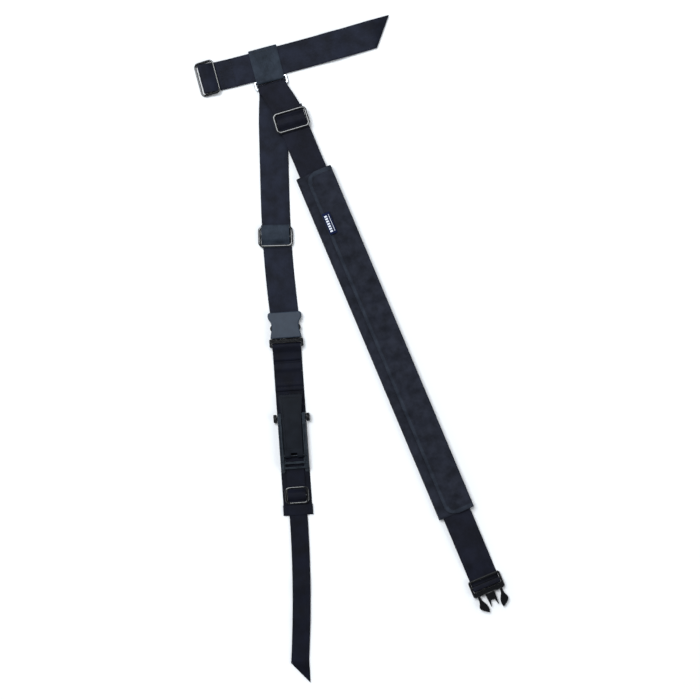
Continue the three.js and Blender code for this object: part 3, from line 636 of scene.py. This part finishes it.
# %% [markdown]
# ## Strap over each slide
# Under the shoulder slide the webbing comes up through the first slot, lies over the middle bar and
# dives down through the second. On the other slide the strap's own sewn end wraps the upper bar
# before it crosses the middle one. Both short pieces move with their slides.

# %% Humps
GLIDE_LENGTH, GLIDE_T, GLIDE_BAR = 29, 2.8, 3.6


shoulder_line = shoulder_frame @ Matrix.Translation((SHOULDER_SHIFT * MM, 0, 0))
SHOULDER_GLIDE, GLIDE_TURN = 55, math.radians(-6.5)
SIDE_GLIDE, SIDE_GLIDE_SHIFT = 209, -1.8
GLIDE_HALF = GLIDE_LENGTH / 2

low = SHOULDER_Z + WEB_T + GAP
over = low + WEB_T / 2 + GAP + GLIDE_T + GAP + WEB_T / 2
askew = shoulder_line @ Matrix.Translation((0, -SHOULDER_GLIDE * MM, 0)) @ Matrix.Rotation(GLIDE_TURN, 4, "Z")
points = [(GLIDE_HALF + 4, low), (GLIDE_HALF - GLIDE_BAR - 0.6, low), (GLIDE_BAR / 2 + 0.4, over + 0.3),
          (-GLIDE_BAR / 2 - 0.4, over + 0.3), (-GLIDE_HALF + GLIDE_BAR + 0.6, low), (-GLIDE_HALF - 1, low)]
piece = strap("shoulder_hump", askew, through(points, 0.9), WEB, WEB_T, shoulder_webbing)
woven(piece, "right_slide", ["right_glide_loop"], "webbing", WEB, ["right_tri_glide"], "folded")

low = FLOOR_Z + WEB_T + GAP
over = low + WEB_T / 2 + GAP + GLIDE_T + GAP + WEB_T / 2
sideways_by = side_bend(-SIDE_GLIDE) + SIDE_GLIDE_SHIFT
seated = side_frame @ Matrix.Translation((sideways_by * MM, -SIDE_GLIDE * MM, 0))
route = [(4, low)] + run((4, low), (GLIDE_HALF - GLIDE_T / 2 - 1, low), 2)
route += arc(GLIDE_HALF - GLIDE_T / 2, (low + over) / 2, (over - low) / 2, -90, 90)
route += run(route[-1], (1, over + 0.1), 1.2)
descent = [(1, over + 0.1), (-GLIDE_BAR / 2 - 0.4, over - 0.1), (-GLIDE_HALF + GLIDE_BAR + 0.6, low)]
route += through(descent, 0.9)[1:]
route += run(route[-1], (-GLIDE_HALF - 1, low), 2)
piece = strap("side_end_fold", seated, route, WEB - 1, WEB_T, keeper_webbing)
woven(piece, "left_slide", ["left_glide_loop"], "webbing", WEB - 1, ["left_tri_glide"], "folded")

# %% [markdown]
# ## Lower strap and its layers
# The lower strap hangs on the closed plug's bar. A second layer is sewn on it under the fold, and a
# band across its end holds the narrow tail down.

# %% Lower strap
CLOSED_Z = 0.2 + 1.8 + 3.4
LOWER_LENGTH = 236
fold = FLOOR_Z + WEB_T + GAP
route = [(-21, fold)] + run((-21, fold), (-10, fold + 0.2), 3)
route += run(route[-1], (-1.5, CLOSED_Z + LOOP_R), 2)
route += arc(0, CLOSED_Z, LOOP_R, 90, -90)
route += run((0, CLOSED_Z - LOOP_R), (-15, FLOOR_Z), 2)
route += run((-15, FLOOR_Z), (-LOWER_LENGTH, FLOOR_Z))
lower = strap("lower_band", lower_frame, route, WEB, WEB_T, tape_webbing)
rows = [((-18, y), (18, y), WEB_T) for y in (-LOWER_LENGTH + 3, -67)]
lower_seams = stitches("lower_stitching", lower_frame, rows, "lower_strap")
woven(lower, "lower_strap", ["lower_strap"], "webbing", WEB, ["left_plug"], with_pieces=[lower_seams])

band_z = WEB_T + GAP + WEB_T / 2


def layer_warp(x, y, z):
    """The layer is sewn across in three places and puckers between them."""
    return x, y, z + ripple(y, [(-24, -38, 2.4), (-51, -58, 1.5), (-58, -63, 1.3)])


route = [(-24, band_z)] + run((-24, band_z), (-63, band_z), 1.5)
layer = strap("sewn_layer", lower_frame, route, WEB - 2, WEB_T, tape_webbing, layer_warp)
rows = [((-17, y), (17, y), band_z + WEB_T / 2) for y in (-25.5, -51.5, -58, -62)]
layer_seams = stitches("layer_stitching", lower_frame, rows, "lower_strap")
woven(layer, "lower_strap", ["stitched_band"], "webbing", WEB - 2, [lower], with_pieces=[layer_seams])

# %% [markdown]
# ## Narrow tapes
# A 25 mm tape loops round the load pin and through the small slide, and the long free tail comes
# out from under the end band. Its tip is cut at a slant, like the belt's.

# %% Tapes
TAPE, TAPE_T = 25, 1.2
PIN_AT, PIN_R = 100.7, 1.5
PIN_Z = 5.8 + GAP + 0.2
TAIL_GLIDE, SMALL_GLIDE, SMALL_BAR, SMALL_T = 208, 24, 3.2, 2.4
flat_z = WEB_T + GAP + TAPE_T + GAP + TAPE_T / 2
over_z = flat_z + TAPE_T / 2 + GAP + SMALL_T + GAP + TAPE_T / 2
half = SMALL_GLIDE / 2
route = arc(-PIN_AT, PIN_Z, PIN_R + GAP + TAPE_T / 2, -60, 270, 20)
route += run(route[-1], (-PIN_AT - 12, flat_z), 2)
waypoints = [
    (-PIN_AT - 12, flat_z),
    (-TAIL_GLIDE + half - SMALL_BAR - 0.6, flat_z),
    (-TAIL_GLIDE + SMALL_BAR / 2 + 0.5, over_z),
    (-TAIL_GLIDE - SMALL_BAR / 2 - 0.5, over_z),
    (-TAIL_GLIDE - half + SMALL_BAR + 0.6, flat_z),
    (-TAIL_GLIDE - half - 1, flat_z),
]
for before, after in zip(waypoints, waypoints[1:]):
    route += run(before, after, 0.9 if abs(after[0] - before[0]) < 20 else 4)
anchor = strap("anchor_tape", lower_frame, route, TAPE, TAPE_T, tape_webbing)
woven(anchor, "lower_strap", ["anchor_loop"], "webbing", TAPE, ["load_pin"], "folded")

TAIL_START, TAIL_END, TAIL_CUT, TAIL_BEND_R = 182, 465, 29, 1667
tail_tip = TAIL_END - TAIL_CUT
tail_z = WEB_T + GAP + TAPE_T / 2
bend_from = LOWER_LENGTH + 3


def tail_warp(x, y, z):
    slant = TAIL_CUT * (x / TAPE + 0.5) * min((-tail_tip - y) / 4, 1) if y < -tail_tip else 0
    bend = max(-y - bend_from, 0) ** 2 / (2 * TAIL_BEND_R)
    return x - bend, y - slant, z + ripple(y, [(-bend_from - 35, -tail_tip, 2.0)])


route = [(-TAIL_START, tail_z)] + run((-TAIL_START, tail_z), (-tail_tip, tail_z)) + [(-tail_tip - 4, tail_z)]
tail = strap("tail_tape", lower_frame, route, TAPE, TAPE_T, tape_webbing, tail_warp)
woven(tail, "tail", ["tail_strap"], "webbing", TAPE, [lower])

# %% End band
BAND_START = 221.5
raised = WEB_T + GAP + TAPE_T + GAP + WEB_T / 2
low = WEB_T + GAP + WEB_T / 2
band_middle = Matrix.Translation((0, -(BAND_START + LOWER_LENGTH) / 2 * MM, 0))
across_frame = lower_frame @ band_middle @ Matrix.Rotation(math.pi / 2, 4, "Z")
reach = WEB / 2 + 0.7
rise = [(-reach, low), (-TAPE / 2 - 2.4, low), (-TAPE / 2 - 0.4, raised)]
points = rise + [(-x, z) for x, z in reversed(rise)]
band_width = LOWER_LENGTH - BAND_START
route = through(points, 1.2)
band = strap("end_band_webbing", across_frame, route, band_width, WEB_T, tape_webbing, columns=6)
rows = [((x, -BAND_START - 3), (x, -LOWER_LENGTH + 3), low + WEB_T / 2) for x in (-17.5, 17.5)]
band_seams = stitches("band_stitching", lower_frame, rows, "lower_strap")
woven(band, "lower_strap", ["end_band"], "webbing", band_width, [lower], with_pieces=[band_seams])

# %% [markdown]
# ## Padded sleeve
# The sleeve is a foam pad under the shoulder strap, a cover that comes up both sides, and a front
# panel that closes over it with hook-and-loop tape. A pad sewn at its edges swells in the middle,
# so its shape comes from a cloth simulation: a slightly smaller closed block is remeshed evenly,
# blown up a little by pressure, and kept from moving further than real foam would.

# %% Sleeve sizes
SLEEVE_START, SLEEVE_LENGTH, SLEEVE_WIDTH = 133, 512, 52
half = SLEEVE_WIDTH / 2
top, end = -SLEEVE_START, -SLEEVE_START - SLEEVE_LENGTH
strap_low, strap_high = SHOULDER_Z - WEB_T / 2 - 0.4, SHOULDER_Z + WEB_T / 2 + 0.4
SKIN, TAPE_SKIN = 1.2, 0.8
tape_up = strap_high + SKIN + TAPE_SKIN + GAP
panel_low = tape_up + TAPE_SKIN + GAP
panel_high = 13.6


def placed(name, place, points, faces, cloth, smooth=True):
    data = bpy.data.meshes.new(name)
    data.from_pydata([place @ (Vector(p) * MM) for p in points], [], faces)
    data.update()
    data.polygons.foreach_set("use_smooth", [smooth] * len(data.polygons))
    data.materials.append(cloth)
    piece = bpy.data.objects.new(name, data)
    scene.collection.objects.link(piece)
    return piece


def select(piece):
    bpy.ops.object.select_all(action="DESELECT")
    piece.select_set(True)
    bpy.context.view_layer.objects.active = piece


def simulate(piece, frames, **settings):
    """Runs Cloth on a piece without gravity and returns where its points end up, leaving the mesh as it was.
    """
    cloth = piece.modifiers.new("cloth", "CLOTH")
    cloth.settings.effector_weights.gravity = 0
    cloth.settings.quality = 6
    for key, value in settings.items():
        setattr(cloth.settings, key, value)
    cloth.point_cache.frame_start, cloth.point_cache.frame_end = 1, frames
    for step in range(1, frames + 1):
        scene.frame_set(step)
    solved = piece.evaluated_get(bpy.context.evaluated_depsgraph_get())
    moved = np.array([v.co for v in solved.data.vertices])
    piece.modifiers.remove(cloth)
    scene.frame_set(1)
    return moved


# %% Pad by simulation
inset = 1.4
box = [
    (x, y, z)
    for x in (-half + inset, half - inset)
    for y in (end + 1, top - 1)
    for z in (0.9, strap_low - 0.9)
]
box_faces = [(0, 1, 3, 2), (4, 6, 7, 5), (0, 4, 5, 1), (2, 3, 7, 6), (0, 2, 6, 4), (1, 5, 7, 3)]
pad = placed("sleeve_pad", Matrix.Identity(4), box, box_faces, sleeve_cloth)
remesh = pad.modifiers.new("voxels", "REMESH")
remesh.mode, remesh.voxel_size = "VOXEL", 4 * MM
select(pad)
bpy.ops.object.modifier_apply(modifier=remesh.name)
MOST = 2.2 * MM
rest = np.array([v.co for v in pad.data.vertices])
moved = simulate(
    pad, 20, use_pressure=True, uniform_pressure_force=4, tension_stiffness=15, bending_stiffness=1
)
shift = moved - rest
size = np.linalg.norm(shift, axis=1, keepdims=True)
rest = rest + shift * np.minimum(1, MOST / np.maximum(size, 1e-9))
rest[:, 0] = np.clip(rest[:, 0], (-half + 0.1) * MM, (half - 0.1) * MM)
rest[:, 1] = np.clip(rest[:, 1], end * MM, top * MM)
rest[:, 2] = np.clip(rest[:, 2], 0.05 * MM, (strap_low + 0.2) * MM)
pad.data.vertices.foreach_set("co", rest.ravel())
pad.data.transform(shoulder_line)
pad.data.polygons.foreach_set("use_smooth", [True] * len(pad.data.polygons))
smooth = pad.modifiers.new("rounder", "SUBSURF")
smooth.levels = smooth.render_levels = 1
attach(pad, "sleeve")
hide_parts("sleeve_foam", "sleeve_body")
print("pad", len(pad.data.vertices), "points")

# %% [markdown]
# ## Cover
# The cover is one layer of oxford cloth. On the left it wraps round the pad and over the strap as
# a flap, and on the right it stands up as a filled wall that carries the panel. Soft creases run
# across it, because the pad can bend but the cloth can't shrink.


# %% Cover
def crease(x, y, depth):
    """Gentle cross creases, tied to the place on the sleeve so that every layer creases together."""
    long = noise.noise(Vector((x * 0.012, y * 0.028, 3.1)))
    short = noise.noise(Vector((x * 0.02, y * 0.075, 7.7)))
    return depth * (0.75 * long + 0.45 * short)


def swept(name, profile, y_from, y_to, cloth, depth=0.0, step=3.0, shape=None):
    """A closed profile in (across, height), carried along the sleeve."""
    rows = max(2, math.ceil(abs(y_to - y_from) / step))
    points, faces = [], []
    for row in range(rows + 1):
        y = y_from + (y_to - y_from) * row / rows
        for x, z in profile:
            px, py, pz = (x, y, z) if shape is None else shape(x, y, z)
            points.append((px, py, pz + crease(px, py, depth)))
    size = len(profile)
    for row in range(rows):
        for i in range(size):
            j = (i + 1) % size
            a, b = row * size, (row + 1) * size
            faces.append((a + i, a + j, b + j, b + i))
    faces.append(tuple(range(size)))
    faces.append(tuple(range(rows * size + size - 1, rows * size - 1, -1)))
    piece = placed(name, shoulder_line, points, faces, cloth)
    mesh = bmesh.new()
    mesh.from_mesh(piece.data)
    bmesh.ops.recalc_face_normals(mesh, faces=mesh.faces)
    mesh.to_mesh(piece.data)
    mesh.free()
    return piece


def layer_profile(line, thick):
    """The closed outline of a layer of cloth whose middle follows a line."""
    out, back = [], []
    for i, (x, z) in enumerate(line):
        before, after = line[max(i - 1, 0)], line[min(i + 1, len(line) - 1)]
        dx, dz = after[0] - before[0], after[1] - before[1]
        size = math.hypot(dx, dz)
        out.append((x - dz / size * thick / 2, z + dx / size * thick / 2))
        back.append((x + dz / size * thick / 2, z - dx / size * thick / 2))
    return out + back[::-1]


FLAP_EDGE = 12
flap_z = strap_high + SKIN / 2
line = [(FLAP_EDGE - i * 4, flap_z) for i in range(9)]
line += [(-half + 3.4, flap_z - 0.2), (-half + 1.8, flap_z - 1.2), (-half + 0.9, flap_z - 2.9)]
line += [(-half + 0.7, flap_z - 5), (-half + 0.8, 2.6), (-half + 1.4, 1.1)]
flap = swept("sleeve_flap", layer_profile(line, SKIN), end + 0.3, top - 0.3, sleeve_cloth, depth=0.35)
wall = [(half - 0.6, 1.6), (half - 0.15, 4), (half - 0.05, 8), (half - 0.3, panel_low - 1.6)]
wall += [(half - 1.2, panel_low - 0.5), (half - 2.6, panel_low - 0.35), (half - 4.0, panel_low - 0.7)]
wall += [(half - 4.7, panel_low - 2.4), (half - 4.8, strap_low + 0.6), (half - 4.4, strap_low - 0.3)]
wall += [(half - 2.2, 4.2)]
wall_piece = swept("sleeve_wall", wall, end + 0.3, top - 0.3, sleeve_cloth, depth=0.0)
for piece, across in ((flap, 50.0), (wall_piece, 14.0)):
    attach(piece, "sleeve")
print("flap and wall", round(SLEEVE_LENGTH), "mm long")

# %% [markdown]
# ## Front panel
# The panel is a flat layer whose border is hemmed, so its edge is a little shorter than its middle
# and the cloth gathers into soft cross wrinkles. The simulation does the same: the border is held
# still while the cloth inside grows by a few hundredths.

# %% Panel by simulation
PANEL_EDGE, CORNER_R, HEM, CROWN = -13, 15, 6.5, 1.6
COLUMNS, ROW_STEP = 18, 3.0
row_count = round(SLEEVE_LENGTH / ROW_STEP)
grid, held, bound = [], [], []


def panel_left(y):
    near = min(y - end, top - y)
    if near >= CORNER_R:
        return PANEL_EDGE
    return PANEL_EDGE + CORNER_R - math.sqrt(max(CORNER_R**2 - (CORNER_R - near) ** 2, 0))


for row in range(row_count + 1):
    y = end + SLEEVE_LENGTH * row / row_count
    left = panel_left(y)
    for column in range(COLUMNS + 1):
        x = left + (half - left) * column / COLUMNS
        near = min(x - left, half - x, y - end, top - y)
        grid.append([x, y, panel_high - 0.6 + 0.25 * noise.noise(Vector((x * 0.03, y * 0.06, 1.5)))])
        held.append(near)
        bound.append(min(x - left, y - end, top - y))
grid = np.array(grid)
held = np.array(held)
faces = []
for row in range(row_count):
    for column in range(COLUMNS):
        a = row * (COLUMNS + 1) + column
        faces.append((a, a + 1, a + COLUMNS + 2, a + COLUMNS + 1))
panel = placed("sleeve_front_panel", Matrix.Identity(4), grid.tolist(), faces, sleeve_cloth)
pins = panel.vertex_groups.new(name="sewn")
pins.add([int(i) for i in np.flatnonzero(held < 1)], 1, "REPLACE")
moved = simulate(panel, 20, vertex_group_mass="sewn", shrink_min=-0.06, bending_stiffness=0.3,
                 tension_stiffness=20, compression_stiffness=20) / MM
panel.vertex_groups.remove(pins)
lift = np.clip(moved[:, 2] - grid[:, 2], -1.2, 2.2)
grid[:, 2] += lift * np.clip(held / HEM, 0, 1)
print("panel wrinkles from", round(float(lift.min()), 2), "to", round(float(lift.max()), 2), "mm")
bound = np.array(bound)
hem = np.clip(1 - np.abs(bound - HEM - 1) / 2.4, 0, 1)
crown = 1 - ((grid[:, 0] - (half + PANEL_EDGE) / 2) / ((half - PANEL_EDGE) / 2)) ** 2
roll = np.clip(1 - np.abs(bound - HEM / 2) / (HEM / 2), 0, 1)
grid[:, 2] += CROWN * np.clip(crown, 0, 1) - 2.2 * hem + 0.6 * roll
grid[:, 2] = np.clip(grid[:, 2], panel_low + 0.75, 16.5)
panel.data.vertices.foreach_set("co", (grid * MM).ravel())
panel.data.transform(shoulder_line)
panel.data.materials.append(binding_cloth)
for face in panel.data.polygons:
    if max(bound[i] for i in face.vertices) < HEM:
        face.material_index = 1
thickness = panel.modifiers.new("two layers of cloth", "SOLIDIFY")
thickness.thickness, thickness.offset = 1.2 * MM, 0
rounder = panel.modifiers.new("rounder", "SUBSURF")
rounder.levels = rounder.render_levels = 1

# %% Panel's seams, tapes and label
def panel_height(x, y):
    row = min(max(round((y - end) / SLEEVE_LENGTH * row_count), 0), row_count)
    left = panel_left(end + SLEEVE_LENGTH * row / row_count)
    column = min(max(round((x - left) / (half - left) * COLUMNS), 0), COLUMNS)
    return grid[row * (COLUMNS + 1) + column][2]


inner = PANEL_EDGE + HEM
corner_turns = [math.radians(a) for a in range(90, 181, 15)]
seam_r = CORNER_R - HEM
corner = [
    (inner + seam_r * (1 + math.cos(a)), top - CORNER_R + seam_r * math.sin(a)) for a in corner_turns
]
low_corner = [(x, end + top - y) for x, y in reversed(corner)]
outline = [(half - 2, top - HEM)] + corner + low_corner + [(half - 2, end + HEM)]
pieces_of_line = []
for a, b in zip(outline, outline[1:]):
    steps = max(1, round(math.dist(a, b) / 8))
    for i in range(steps):
        p = (a[0] + (b[0] - a[0]) * i / steps, a[1] + (b[1] - a[1]) * i / steps)
        q = (a[0] + (b[0] - a[0]) * (i + 1) / steps, a[1] + (b[1] - a[1]) * (i + 1) / steps)
        pieces_of_line.append((p, q, panel_height((p[0] + q[0]) / 2, (p[1] + q[1]) / 2) + 0.6))
panel_seams = stitches("panel_stitching", shoulder_line, pieces_of_line, "panel")

label_low = (PANEL_EDGE + 1, top - 59 - 31)
LABEL_WIDE, LABEL_LONG = 11, 31
label_points, label_faces = [], []


def label_height(y):
    """The label is stiffer than the panel, so it lies on the panel's highest points."""
    near = [panel_height(label_low[0] + LABEL_WIDE * i / 4, y + d) for i in range(5) for d in (-4, 0, 4)]
    return max(near) + 0.9


for j in range(13):
    for i in range(5):
        x, y = label_low[0] + LABEL_WIDE * i / 4, label_low[1] + LABEL_LONG * j / 12
        label_points.append((x, y, label_height(y)))
for j in range(12):
    for i in range(4):
        a = j * 5 + i
        label_faces.append((a, a + 1, a + 6, a + 5))
label = placed("woven_label", shoulder_line, label_points, label_faces, label_cloth)
label_thickness = label.modifiers.new("woven layer", "SOLIDIFY")
label_thickness.thickness, label_thickness.offset = 0.5 * MM, 0
bar_points, bar_faces = [], []


def satin_bar(x0, x1, y0, y1):
    """One block of pale satin stitch, slightly domed."""
    base = len(bar_points)
    z = label_height((y0 + y1) / 2) + 0.2
    for inset, up in ((0, 0), (0, 0.2), (0.35, 0.32)):
        left, right, low, high = x0 + inset, x1 - inset, y0 + inset, y1 - inset
        for x, y in ((left, low), (right, low), (right, high), (left, high)):
            bar_points.append((x, y, z + up))
    for ring in (0, 4):
        for k in range(4):
            first, after = base + ring + k, base + ring + (k + 1) % 4
            bar_faces.append((first, after, after + 4, first + 4))
    bar_faces.extend([(base + 3, base + 2, base + 1, base), (base + 8, base + 9, base + 10, base + 11)])


for i in range(7):
    y = label_low[1] + 3.2 + i * 3.6
    satin_bar(label_low[0] + 1.8, label_low[0] + 5.6, y, y + 2.3)
for i in range(9):
    y = label_low[1] + 3.2 + i * 2.72
    satin_bar(label_low[0] + 8.1, label_low[0] + 8.7, y, y + 2.7)
label_marks = placed("label_embroidery", shoulder_line, bar_points, bar_faces, label_thread, smooth=False)
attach(label_marks, "panel")

for name, low_z, body, replaced in (
    ("loop_tape", strap_high + SKIN + GAP / 2, "sleeve", "sleeve_loop_tape"),
    ("hook_tape", tape_up, "panel", "sleeve_hook_tape"),
):
    middle_x = (PANEL_EDGE + 3 + FLAP_EDGE - 2) / 2
    wide = FLAP_EDGE - 2 - PANEL_EDGE - 3
    place = shoulder_line @ Matrix.Translation((middle_x * MM, 0, 0))
    z = low_z + 0.35
    piece = strap(name, place, [(top - 20, z)] + run((top - 20, z), (end + 20, z), 4), wide, 0.7, fleece_tape)
    woven(piece, body, [replaced], "hook_tape", wide, [flap] if body == "sleeve" else [panel])
for piece, body, replaced, slot in (
    (panel, "panel", "sleeve_panel", "sleeve_fabric"), (label, "panel", "sleeve_label", "label"),
):
    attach(piece, body)
    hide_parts(replaced)
print("panel", half - PANEL_EDGE, "x", SLEEVE_LENGTH, "mm")

# %% [markdown]
# ## Strap slides
# A moulded slide has bars with a full oval section, which shows one bright line along each bar.
# Each slide here is an oval ring with an oval middle bar, as large as the CAD slide it replaces and
# in the same place, which comes from the CAD slide's own long and short directions.

# %% Domed slides
RING_STEPS, OVAL_STEPS = 14, 20


def slide_frame(cad):
    """The CAD slide's middle, its directions (across, along, up) and its three sizes."""
    points = np.array([cad.matrix_world @ v.co for v in cad.data.vertices])
    low, high = points.min(axis=0), points.max(axis=0)
    _, turned = np.linalg.eigh(np.cov((points - (low + high) / 2).T))
    across, along, up = turned[:, 2], turned[:, 1], turned[:, 0]
    up = up if up[2] > 0 else -up
    along = np.cross(up, across)
    axes = np.array([across, along, up])
    flat = points @ axes.T
    centre = (flat.min(axis=0) + flat.max(axis=0)) / 2
    place = Matrix.Identity(4)
    for row in range(3):
        for column in range(3):
            place[row][column] = axes[column][row]
    place.translation = Vector(centre @ axes)
    return place, (flat.max(axis=0) - flat.min(axis=0)) / MM


def oval(t, wide, tall):
    """A point of a slightly squared oval section, so the bar still has a little flat on top."""
    c, s = math.cos(t), math.sin(t)
    return wide * math.copysign(abs(c) ** 0.8, c), tall * math.copysign(abs(s) ** 0.8, s)


def domed_slide(name, cad_name, body, side_bar, cross_bar, corner):
    place, (wide, long, thick) = slide_frame(nodes[cad_name])
    x, y, r = wide / 2 - side_bar / 2, long / 2 - cross_bar / 2, corner - cross_bar / 2
    path = []
    cx, cy = x - r, y - r
    for mx, my, first in ((cx, cy, 0), (-cx, cy, 90), (-cx, -cy, 180), (cx, -cy, 270)):
        for i in range(RING_STEPS + 1):
            a = math.radians(first + 90 * i / RING_STEPS)
            path.append((mx + r * math.cos(a), my + r * math.sin(a), math.cos(a), math.sin(a)))
    points, faces = [], []
    for px, py, nx, ny in path:
        half_bar = (side_bar * nx * nx + cross_bar * ny * ny) / 2
        for k in range(OVAL_STEPS):
            out, up = oval(math.tau * k / OVAL_STEPS, half_bar, thick / 2)
            points.append((px + nx * out, py + ny * out, up))
    n = len(path)
    for i in range(n):
        for k in range(OVAL_STEPS):
            j, m = (i + 1) % n, (k + 1) % OVAL_STEPS
            faces.append((i * OVAL_STEPS + k, j * OVAL_STEPS + k, j * OVAL_STEPS + m, i * OVAL_STEPS + m))
    start = len(points)
    for sx in np.linspace(-x, x, 9):
        for k in range(OVAL_STEPS):
            out, up = oval(math.tau * k / OVAL_STEPS, cross_bar / 2, thick / 2 - 0.1)
            points.append((sx, -out, up))
    for i in range(8):
        for k in range(OVAL_STEPS):
            m = (k + 1) % OVAL_STEPS
            a, b = start + i * OVAL_STEPS, start + (i + 1) * OVAL_STEPS
            faces.append((a + k, b + k, b + m, a + m))
    faces.append(tuple(start + k for k in range(OVAL_STEPS)))
    faces.append(tuple(start + 8 * OVAL_STEPS + k for k in reversed(range(OVAL_STEPS))))
    piece = placed(name, place, points, faces, acetal)
    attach(piece, body)
    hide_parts(cad_name)
    print(name, [round(float(v), 1) for v in (wide, long, thick)], "mm")
    return piece


domed_slide("belt_slide", "belt_tri_glide", "belt_slide", 3.6, 2.6, 6.5)
domed_slide("right_strap_slide", "right_tri_glide", "right_slide", 3.6, 3.2, 6.5)
domed_slide("left_strap_slide", "left_tri_glide", "left_slide", 3.6, 3.2, 6.5)
domed_slide("tail_slide", "tail_tri_glide", "lower_strap", 3.6, 2.6, 6.5)

# %% [markdown]
# ## Hardware
# The hard pieces keep their CAD shapes. A mould or a press never leaves a knife edge, so each one
# gets a fine bevel, and weighted normals keep its flat faces flat in the highlight.

# %% Soft edges on hardware
finishes = [
    (nylon, 0.3, ["left_socket"]),
    (acetal, 1.0, ["left_plug", "right_plug", "left_plug_prong_l", "left_plug_prong_r",
                   "right_plug_prong_l", "right_plug_prong_r"]),
    (zinc_wire, 0.35, ["strap_ring"]),
    (zinc_sheet, 0.3, ["release_frame"]),
    (pin_steel, 0.15, ["lever_axle", "load_pin", "frame_rivet_l", "frame_rivet_r"]),
    (dark_spring, 0.0, ["lever_spring"]),
    (painted_steel, 0.3, ["release_lever"]),
    (rubber, 0.9, ["pin_knob_l", "pin_knob_r"]),
]
for finish, radius, names in finishes:
    for name in names:
        piece = nodes[name]
        piece.data.materials.clear()
        piece.data.materials.append(finish)
        piece.data.polygons.foreach_set("use_smooth", [True] * len(piece.data.polygons))
        weld = piece.modifiers.new("one skin", "WELD")
        weld.merge_threshold = 0.00001
        if name != "lever_spring":
            bevel = piece.modifiers.new("moulded edge", "BEVEL")
            bevel.width, bevel.segments = radius * MM, 3
            bevel.limit_method, bevel.angle_limit = "ANGLE", math.radians(32)
            piece.modifiers.new("flat faces", "WEIGHTED_NORMAL").keep_sharp = True
        print(name, "in", finish.name)

# %% [markdown]
# ## Floor
# A wide pale sheet under the harness, which only the renders need.

# %% Floor
paper, _ = material("matt_white_paper", 0.9, ior=1.5, Base_Color=linear("#fbfbfc"))
FLOOR_HALF = 3000
corners = [(x * FLOOR_HALF, y * FLOOR_HALF, -0.2) for x, y in ((-1, -1), (1, -1), (1, 1), (-1, 1))]
floor = placed("floor", Matrix.Identity(4), corners, [(0, 1, 2, 3)], paper, smooth=False)
